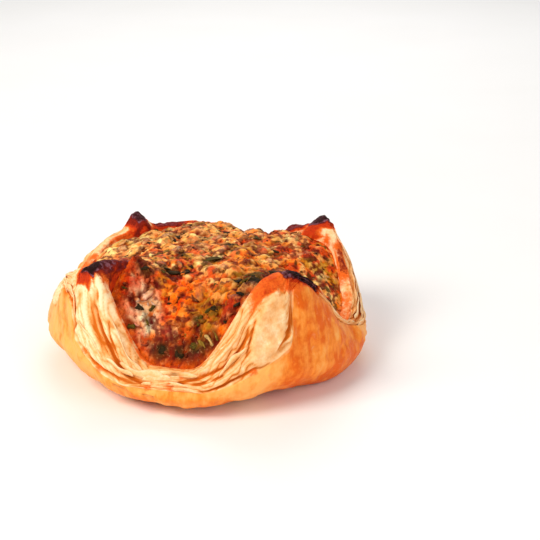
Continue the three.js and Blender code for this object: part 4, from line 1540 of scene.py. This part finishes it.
@dataclass
class Crust:
    """The filling's browned top, closed below: a square grid laid over a disc, with lumps on lumps."""

    filling: Filling
    cells_across: int = 300
    lump_sets: Triples = (
        (7.0, 0.5, 0.2), (3.9, 0.85, 0.65), (2.4, 0.65, 0.65), (1.3, 0.28, 0.32))
    lump_reach: float = 0.78
    grain: float = 0.14
    pit_spacing: float = 4.7
    pit_depth: float = 0.9
    overlap: float = 0.35
    skirt_rows: int = 4
    skirt_lean: float = 3.0

    def disc(self) -> Pair:
        """A square grid squeezed onto a disc, each ring of the square onto a ring of the disc.

        Returns:
            The angle, and the share of the way out from the middle, for each point of the grid.
        """
        line = np.linspace(-1.0, 1.0, self.cells_across + 1)
        a, b = np.meshgrid(line, line)
        flat = np.abs(a) > np.abs(b)
        share = np.where(flat, a, b)
        small = np.where(flat, b, a) / np.where(share == 0.0, 1.0, share)
        angle = np.where(flat, 45.0 * small, 90.0 - 45.0 * small)
        angle = np.where(share < 0.0, angle + 180.0, angle)
        return angle % FULL_TURN, np.abs(share)

    def relief(self, points: Array) -> Pair:
        """Lumps of several sizes: each a round cap over its cell, with its own height.

        Returns:
            The relief in millimetres, and the level that shades it, from 0 in the hollows to 1 on the tops.
        """
        warped = points + 0.9 * np.stack([cloud(points, 2.2, 41 + k) for k in range(3)], -1)
        total = self.grain * cloud(points, 0.9, 71)
        level = np.full(points.shape[:-1], 0.42)
        for i, (size, height, shade) in enumerate(self.lump_sets):
            found = cells(warped, size, 50 + 10 * i)
            cap = found.caps(self.lump_reach) * (0.4 + 0.6 * found.number) - 0.4
            total += height * cap
            level += shade * cap
        return total, level

    def pits(self, points: Array) -> Array:
        """How deep in a burst bubble each point is, from 0 to 1: the placed ones, and scattered ones."""
        deep = np.zeros(points.shape[:-1])
        for pit in PITS:
            away = ((points[..., 0] - pit.x) ** 2 + (points[..., 1] - pit.y) ** 2) / pit.radius**2
            deep = np.maximum(deep, np.exp(-away))
        flat = points * np.array([1.0, 1.0, 0.3]) + 0.5 * cloud(points, 1.5, 75)[..., None]
        found = cells(flat, self.pit_spacing, 73)
        width = 0.13 + 0.16 * found.number
        return np.maximum(deep, np.exp(-((found.near / width) ** 2)) * (found.number > 0.35))

    def build(self) -> Thing:
        """Builds the crust and closes it with a skirt down the wall and a flat underside."""
        filling, form = self.filling, self.filling.form
        angle, share = self.disc()
        edge_r, _ = filling.edge(angle)
        radius = share * (edge_r + self.overlap) + 0.5 * filling.brim(angle, share)
        points = form.place(angle, radius, filling.top(angle, radius))
        normals = unit(np.cross(np.gradient(points, axis=1), np.gradient(points, axis=0)))
        pit, halo = self.pits(points), filling.leek_halo(points)
        relief, level = self.relief(points)
        inside = fall(share, 0.955, 0.045)
        rise = (relief + 0.15 - self.pit_depth * pit - 0.15 * halo) * lerp(0.35, 1.0, inside)
        colour = self.shade(filling.paint(points), level, pit, halo)
        width = 0.03 + 0.1 * bell(angle, 233.0, 20.0) + 0.04 * bell(angle, 310.0, 20.0)
        scorched = np.exp(-(((1.0 - share) / width) ** 2))[..., None]
        # scorched crust by the rim: real scorching, darker red in the hollows and orange on the tops as
        # painted shade and highlight
        scorch_shaded = lerp(Tone.RED.rgb * 0.7, Tone.ORANGE.rgb * 1.05, ease(1.5 * level - 0.35)[..., None])
        colour = lerp(colour, scorch_shaded, 0.9 * scorched)
        return self.close(points + normals * rise[..., None], colour, pit)

    def shade(self, colour: Array, level: Array, pit: Array, halo: Array) -> Array:
        """Darkens the hollows as painted shade, lightens the tops as painted highlight, darkens the pits and
        stains the crust round the leek.

        Args:
            colour: the painted colour.
            level: the height within the lumps, from 0 in the hollows to 1 on the tops.
            pit: how deep in a burst bubble each point is.
            halo: how near a strip of leek each point is.
        """
        # painted shade: darker and redder down in the hollows of the lumps
        low = lerp(0.22, 1.0, ease(level / 0.6))[..., None]
        colour = colour * low ** np.array([0.24, 1.0, 1.8]) * np.array([1.14, 1.13, 0.9])
        # painted highlight: the tops lightened, with a pink glint where the colour is pale
        glint_share = np.minimum(2.2 * colour[..., 2:], 0.5 * colour[..., :1])
        light = np.minimum(colour * 1.3 + 0.8 * Tone.PINK.rgb * glint_share, 1.0)
        colour = lerp(colour, light, ease(level, 0.56, 0.4)[..., None])
        colour = lerp(colour, Tone.GREEN.rgb, 0.7 * halo[..., None])
        return lerp(colour, Tone.MAROON.rgb, np.clip(1.15 * pit, 0.0, 1.0)[..., None])

    def close(self, points: Array, colour: Array, pit: Array) -> Thing:
        """Adds the skirt and the underside below the grid's rim, and writes the mesh."""
        n = self.cells_across
        index = np.arange((n + 1) ** 2).reshape(n + 1, n + 1)
        top = np.stack([index[:-1, :-1], index[:-1, 1:], index[1:, 1:], index[1:, :-1]], -1).reshape(-1, 4)
        ring = np.concatenate([index[0, :-1], index[:-1, -1], index[-1, :0:-1], index[:0:-1, 0]])
        flat = points.reshape(-1, 3)
        rim = flat[ring]
        inward = unit(rim * np.array([-1.0, -1.0, 0.0]))
        floor = self.filling.form.floor_height + self.filling.gap
        rows = []
        for k in range(1, self.skirt_rows + 1):
            share = k / self.skirt_rows
            lower = rim + inward * self.skirt_lean * share
            lower[:, 2] = lerp(rim[:, 2], floor, share)
            rows.append(lower)
        bottom = np.array([[0.0, 0.0, floor]])
        all_points = np.concatenate([flat, *rows, bottom])
        rings = [ring] + [len(flat) + k * len(ring) + np.arange(len(ring)) for k in range(self.skirt_rows)]
        skirt = []
        for upper, lower in zip(rings[:-1], rings[1:]):
            skirt.append(np.stack([upper, lower, np.roll(lower, -1), np.roll(upper, -1)], -1))
        last = np.full(len(ring), len(all_points) - 1)
        skirt.append(np.stack([rings[-1], last, np.roll(rings[-1], -1), np.roll(rings[-1], -1)], -1))
        extra = len(all_points) - len(flat)
        colours = np.concatenate([colour.reshape(-1, 3), np.tile(Tone.RED.rgb * 0.5, (extra, 1))])
        pits = np.concatenate([pit.reshape(-1), np.zeros(extra)])
        return write_mesh("baked_crust", all_points, np.concatenate([top, *skirt]), {"tint": colours},
                          {"pit": pits})


@dataclass(frozen=True)
class Seat:
    """A place on the filling's top: the point, the upward direction there and the way the piece points."""

    point: Array
    normal: Array
    heading: float

    def lay(self, local: Array) -> Array:
        """Turns a piece made flat at the origin onto this place: x along it, y beside it, z off the top."""
        side = unit(np.cross(self.normal, np.array([math.cos(self.heading), math.sin(self.heading), 0.0])))
        along = np.cross(side, self.normal)
        return self.point + local @ np.stack([along, side, self.normal])


@dataclass
class Pieces:
    """The pieces of leek and chicken at the frame's own places, and the finer ones between them."""

    filling: Filling
    sink: float = 0.35
    edge_clearance: float = 1.2
    fine_count: int = 0

    def seat(self, angle: float, share: float, heading: float) -> tuple[Seat, float]:
        """A place on the top, and the room left between it and the edge.

        The upward direction is square to two short steps over the top, one outward and one sideways.
        """
        filling = self.filling
        edge_r = filling.edge(angle)[0]
        radius = share * edge_r
        step = 1.5
        radii = np.array([radius, radius + step, max(0.0, radius - step)])
        angles = np.full(3, angle)
        here, out, back = filling.form.place(angles, radii, filling.top(angles, radii))
        theta = math.radians(angle)
        sideways = np.array([-math.sin(theta), math.cos(theta), 0.0])
        normal = unit(np.cross(out - back, sideways))
        normal = -normal if normal[2] < 0 else normal
        return Seat(here, normal, heading), edge_r - radius

    def seat_at(self, x: float, y: float, heading: float) -> Seat:
        """A place on the top above a point of the plan."""
        x, y = x + self.filling.form.middle[0], y + self.filling.form.middle[1]
        angle = math.degrees(math.atan2(y, x)) % FULL_TURN
        share = math.hypot(x, y) / self.filling.edge(angle)[0]
        return self.seat(angle, min(share, 0.97), heading)[0]

    def between(self, draw: Dice, reach: float, ahead: float) -> Iterator[Seat]:
        """Seats for the fine pieces, spread evenly out to a share of the edge."""
        for i in range(self.fine_count):
            share = reach * math.sqrt((i + draw.uniform()) / self.fine_count)
            angle = (i * GOLDEN_ANGLE + ahead) % FULL_TURN
            yield self.seat(angle, share, draw.uniform(0, math.tau))[0]


@dataclass
class LeekStrips(Pieces):
    """Curved strips of leek: those of the frame, the large ones that show at the front, and fine ones."""

    seed: int = 20418
    lift: float = -0.12
    chicken_draws: int = 24 * 5
    frame_count: int = 40
    fine_count: int = 60
    kind_shares: Sequence[float] = (0.5, 0.4, 0.1, 0.0)
    length: Range = (4.5, 9.0)
    width: Range = (1.8, 3.0)
    thickness: float = 0.6
    bend: float = 0.5
    rows: int = 13
    columns: int = 10

    def strip(self, seat: Seat, length: float, width: float, kind: Leek, draw: Dice,
              parts: Gathered) -> None:
        """One strip: a thin oval section carried along an arch, pinched at its ends and rippled."""
        along = np.linspace(-1, 1, self.rows)[:, None]
        around = spaced(self.columns, math.tau)[None]
        wave = draw.uniform(0, math.tau)
        ends = np.clip(1.0 - np.abs(along) ** 12, 0.05, 1.0)
        ragged = 1.0 + 0.22 * draw.uniform(-1, 1, (self.rows, self.columns))
        half = width / 2 * (1.0 - 0.3 * along**2) * ends * ragged * (1.0 + 0.2 * np.sin(4 * along + wave))
        y = np.cos(around) * half + 0.25 * width * np.sin(1.6 * along + wave)
        curl = 0.22 * width * (np.cos(around) ** 2) * np.sin(2 * along + wave)
        z = np.sin(around) * self.thickness / 2 * ends + self.bend * (0.4 - along**2) + self.lift + curl
        x = along * length / 2 + 0 * around
        local = np.stack([x, y, z], -1).reshape(-1, 3)
        own, vein = (np.array(linear(code)[:3]) for code in kind.value)
        tone = draw.uniform(0.75, 1.2) * np.ones((len(local), 1))
        fibre = local * np.array([0.12, 1.0, 1.0]) + draw.uniform(0, 50, 3)
        parts.add(seat.lay(local), tube_faces(self.rows, self.columns), tint=own * tone,
                  vein=vein * tone, fibre=fibre)

    def build(self) -> Thing:
        """Lays the frame's strips, the large ones and the fine ones, and joins them in one mesh."""
        parts = Gathered()
        draw = np.random.default_rng(self.seed)
        kinds = list(Leek)
        frame_draws = Draws(self.seed)
        for _ in range(self.chicken_draws):
            frame_draws.next()
        for i in range(self.frame_count):
            share = math.sqrt((i + 0.5) / self.frame_count)
            angle = (i * GOLDEN_ANGLE) % FULL_TURN
            length = frame_draws.between(*self.length)
            width = frame_draws.between(*self.width)
            heading = math.tau * frame_draws.next()
            seat, room = self.seat(angle, share, heading)
            if room > length / 2 + self.edge_clearance:
                kind = kinds[draw.choice(len(kinds), p=self.kind_shares)]
                self.strip(seat, length * 0.85, width * 0.8, kind, draw, parts)
        for s in STRIPS:
            seat = self.seat_at(s.x, s.y, math.radians(s.heading))
            self.strip(seat, s.length, s.width, s.kind, draw, parts)
        for seat in self.between(draw, 0.96, 70.0):
            kind = kinds[draw.choice(len(kinds), p=self.kind_shares)]
            self.strip(seat, draw.uniform(1.6, 3.6), draw.uniform(0.7, 1.6), kind, draw, parts)
        joined = parts.joined()
        return write_mesh("leek_strips", joined["points"], joined["faces"],
                          {"tint": joined["tint"], "vein": joined["vein"]}, {"fibre": joined["fibre"]})


@dataclass
class ChickenChunks(Pieces):
    """Torn chunks of chicken at the frame's places, with smaller shreds between them."""

    seed: int = 20418
    frame_count: int = 24
    fine_count: int = 10
    length: Range = (5.5, 9.0)
    width: Range = (4.0, 6.0)
    height: Range = (1.8, 2.8)
    rows: int = 15
    columns: int = 18
    colours: Sequence[str] = ("#F0A464", "#E68C40", "#F2B070", "#DC7A34")
    own_colour: float = 0.12

    def chunk(self, seat: Seat, size: tuple[float, float, float], draw: Dice,
              parts: Gathered) -> None:
        """One chunk: an egg shape pressed out of round, with fibres as ridges along it."""
        length, width, height = size
        ball, around = round_ball(self.rows, self.columns, 0.06)
        shift = draw.uniform(0, 90, 3)
        ridges = np.sin(9 * around + 3 * ball[..., 0] + shift[0])
        swell = 1.0 + 0.22 * cloud(ball + shift, 0.9, 81) + 0.07 * ridges
        local = ball * swell[..., None] * np.array([length / 2, width / 2, height])
        local = local + 0.3 * ball * cloud(local + shift, 1.1, 83)[..., None]
        local = local.reshape(-1, 3)[::-1]
        placed = seat.lay(local)
        colour = np.array(linear(self.colours[draw.integers(len(self.colours))])[:3])
        colour = lerp(self.filling.paint(placed), colour, self.own_colour)
        lit = lerp(0.3, 1.0, ease(0.25 + local[:, 2:] / height))
        tint = colour * draw.uniform(0.8, 1.05) * lit ** np.array([0.5, 1.0, 1.1])
        fibre = local * np.array([0.18, 1.0, 1.0]) + shift
        parts.add(placed, tube_faces(self.rows, self.columns), tint=tint, fibre=fibre)

    def build(self) -> Thing:
        """Lays the frame's chunks and the shreds, and joins them in one mesh."""
        parts = Gathered()
        draw = np.random.default_rng(self.seed + 5)
        frame_draws = Draws(self.seed)
        for i in range(self.frame_count):
            share = math.sqrt((i + 0.5) / self.frame_count)
            angle = (i * GOLDEN_ANGLE + 40.0) % FULL_TURN
            length = frame_draws.between(*self.length)
            width = frame_draws.between(*self.width)
            heading = math.tau * frame_draws.next()
            height = frame_draws.between(*self.height)
            frame_draws.next()
            seat, room = self.seat(angle, share, heading)
            if room > length / 2 + self.edge_clearance:
                lower = Seat(seat.point - seat.normal * self.sink, seat.normal, heading)
                self.chunk(lower, (length * 0.9, width * 0.85, height * 0.5), draw, parts)
        for seat in self.between(draw, 0.93, 110.0):
            size = (draw.uniform(2.4, 5.0), draw.uniform(1.2, 2.4), draw.uniform(0.7, 1.3))
            if seat.point[1] > -30.0:
                self.chunk(seat, size, draw, parts)
        joined = parts.joined()
        return write_mesh("chicken_chunks", joined["points"], joined["faces"], {"tint": joined["tint"]},
                          {"fibre": joined["fibre"]})


@dataclass
class ToastedCrumbs(Pieces):
    """Small toasted bits strewn evenly over the crust: round crumbs, and shreds of melted cheese."""

    crumb_count: int = 170
    shred_count: int = 330
    crumb_size: Range = (0.3, 0.75)
    shred_size: Range = (0.35, 0.65)
    rows: int = 6
    columns: int = 6
    seed: int = 77

    def build(self) -> Thing:
        """Each bit is a small ball of few faces, stretched, bent and out of round, all made as one array."""
        draw = np.random.default_rng(self.seed)
        filling, form = self.filling, self.filling.form
        n = self.crumb_count + self.shred_count
        number = np.arange(n)
        shred = number * self.shred_count // n != (number + 1) * self.shred_count // n
        share = 0.965 * np.sqrt((number + draw.uniform(size=n)) / n)
        angle = (number * GOLDEN_ANGLE + draw.uniform(-20, 20, n)) % FULL_TURN
        radius = share * filling.edge(angle)[0]
        here = form.place(angle, radius, filling.top(angle, radius))
        ahead = form.place(angle, radius + 1.0, filling.top(angle, radius + 1.0))
        beside = form.place(angle + 1.0, radius, filling.top(angle + 1.0, radius))
        normal = unit(np.cross(ahead - here, beside - here))
        ball = round_ball(self.rows, self.columns, 0.2)[0][::-1].reshape(-1, 3)
        low = np.where(shred, self.shred_size[0], self.crumb_size[0])
        high = np.where(shred, self.shred_size[1], self.crumb_size[1])
        size = lerp(low, high, draw.uniform(size=n) ** 1.5)
        long = np.where(shred, draw.uniform(1.6, 3.4, n), draw.uniform(0.8, 1.5, n))
        stretch = np.stack([long, draw.uniform(0.7, 1.2, n), draw.uniform(0.5, 0.9, n)], -1)[:, None]
        wobble = 1.0 + 0.28 * draw.uniform(-1, 1, (n, len(ball), 1))
        local = ball[None] * stretch * wobble * size[:, None, None]
        bend = draw.uniform(-0.5, 0.5, (n, 1))
        local[..., 1] += bend * local[..., 0] ** 2 / (long * size)[:, None]
        spin = draw.uniform(0, math.tau, n)
        heading = np.stack([np.cos(spin), np.sin(spin), np.zeros(n)], -1)
        side = unit(np.cross(normal, heading))
        along = np.cross(side, normal)
        lift = here + normal * (0.45 * draw.uniform(size=(n, 1)) - 0.1 * size[:, None])
        points = (lift[:, None] + local[..., :1] * along[:, None] + local[..., 1:2] * side[:, None]
                  + local[..., 2:] * normal[:, None])
        colour = filling.paint(here) * draw.uniform(0.7, 1.1, (n, 1))
        # painted shade: each bit darker underneath and lighter on top
        toasted = lerp(0.55, 1.0, ease(0.5 + 0.6 * ball[:, 2:]))
        tints = (colour[:, None] * toasted[None]).reshape(-1, 3)
        faces = tube_faces(self.rows, self.columns)[None] + (number * len(ball))[:, None, None]
        return write_mesh("toasted_crumbs", points.reshape(-1, 3), faces.reshape(-1, 4), {"tint": tints},
                          {"pit": np.zeros(len(tints))})


@dataclass
class Studio:
    """A pale floor, soft lights and the camera at the photograph's angle."""

    form: Form
    azimuth: float = 13.8
    elevation: float = 22.0
    lens: float = 100.0
    sensor: float = 36.0
    image_width: int = 540
    millimetres_per_pixel: float = 0.366
    centre_pixel: Range = (207.0, 348.4)
    floor_size: float = 6.0
    floor_drop: float = 0.15
    sky_strength: float = 0.38

    def camera(self) -> None:
        """Puts the camera so that the middle of the base falls on its pixel of the photograph."""
        a, e = math.radians(self.azimuth), math.radians(self.elevation)
        back = Vector((math.sin(a) * math.cos(e), -math.cos(a) * math.cos(e), math.sin(e)))
        right = Vector((math.cos(a), math.sin(a), 0.0))
        up = back.cross(right)
        half = self.image_width / 2
        distance = self.lens / self.sensor * self.image_width * self.millimetres_per_pixel
        aside = (self.centre_pixel[0] - half) * self.millimetres_per_pixel
        above = (self.centre_pixel[1] - half) * self.millimetres_per_pixel
        place = back * distance - right * aside + up * above
        place -= Vector((*self.form.middle, 0.0))
        data = bpy.data.cameras.new("camera")
        data.lens = self.lens
        data.sensor_width = self.sensor
        thing = add_thing("camera", data)
        turned = Matrix((right, up, back)).transposed().to_4x4()
        thing.matrix_world = Matrix.Translation(place * MM) @ turned
        bpy.context.scene.camera = thing

    def floor(self) -> None:
        """A plain pale floor just under the pastry."""
        half = self.floor_size / 2 / MM
        square = ((-half, -half), (half, -half), (half, half), (-half, half))
        corners = np.array([(x, y, -self.floor_drop) for x, y in square])
        thing = write_mesh("floor", corners, np.array([[0, 1, 2, 3]]))
        n = Nodes("pale_floor")
        shade = n.ramp(n.noise(60.0, 2.0, 0.5), (0.0, "#F6F5F3"), (1.0, "#FAF9F8"))
        thing.data.materials.append(n.finish(shade, 0.7, n.bump(n.noise(1.5, 2.0, 0.5), 0.02),
                                             specular_ior_level=0.2))
        thing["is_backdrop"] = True

    def lamp(self, name: str, place: Sequence[float], size: float, power: float, warm: str) -> None:
        """A square soft lamp that faces the pastry."""
        data = bpy.data.lights.new(name, "AREA")
        data.energy = power
        data.size = size
        data.color = linear(warm)[:3]
        thing = add_thing(name, data)
        thing.location = place
        aim = Vector((0.0, 0.0, 0.02)) - Vector(place)
        thing.rotation_euler = aim.to_track_quat("-Z", "Y").to_euler()

    def lights(self) -> None:
        """A broad lamp from the front left above, a weaker one from the right, one behind, and a pale sky."""
        self.lamp("key", (-0.35, -0.42, 0.55), 0.4, 4.7, "#FFF8F0")
        self.lamp("fill", (0.55, -0.35, 0.35), 0.6, 1.6, "#FFFFFF")
        self.lamp("back", (-0.1, 0.55, 0.5), 0.5, 2.0, "#FFFFFF")
        world = bpy.data.worlds.new("sky")
        bpy.context.scene.world = world
        world.use_nodes = True
        background = world.node_tree.nodes["Background"]
        background.inputs["Color"].default_value = (1.0, 1.0, 1.0, 1.0)
        background.inputs["Strength"].default_value = self.sky_strength

    def build(self) -> None:
        """Sets up the whole studio, with colours shown as they are."""
        self.camera()
        self.floor()
        self.lights()
        bpy.context.scene.view_settings.view_transform = "Standard"


def settle(piece: Thing, finish: Material, node: Optional[str] = None) -> None:
    """Dresses a piece, hides the node it stands for, and makes it ride on the body.

    Args:
        piece: the finished object.
        finish: its material.
        node: the solid that the piece replaces, if it replaces one.
    """
    piece.data.materials.append(finish)
    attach(piece, BODY)
    if node:
        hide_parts(node)
    log.info("%s: %d points, %d faces", piece.name, len(piece.data.vertices), len(piece.data.polygons))


def write_sizes() -> None:
    """Works out the box of the solids and the box of the dressed model, as plain lists."""
    boxes = {"cad": cad_box, "visual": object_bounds()}
    plain = {name: [[float(v) for v in corner] for corner in box] for name, box in boxes.items()}


def main() -> None:
    """Builds the pastry, its filling and the studio, in order."""
    logging.basicConfig(level=logging.INFO, format="%(name)s: %(message)s")
    form = Form()
    pastry = PastryFinish().make()
    crust = CrustFinish().make()
    settle(PastryCase(form).build(), pastry, CASE_NODE)
    settle(FlakyLeaves(form).build(), pastry)
    filling = Filling(form)
    settle(Crust(filling).build(), crust, FILLING_NODE)
    settle(ToastedCrumbs(filling).build(), crust)
    settle(ChickenChunks(filling).build(), ChickenFinish().make())
    settle(LeekStrips(filling).build(), LeekFinish().make())
    Studio(form).build()
    write_sizes()


if __name__ == "__main__":
    main()
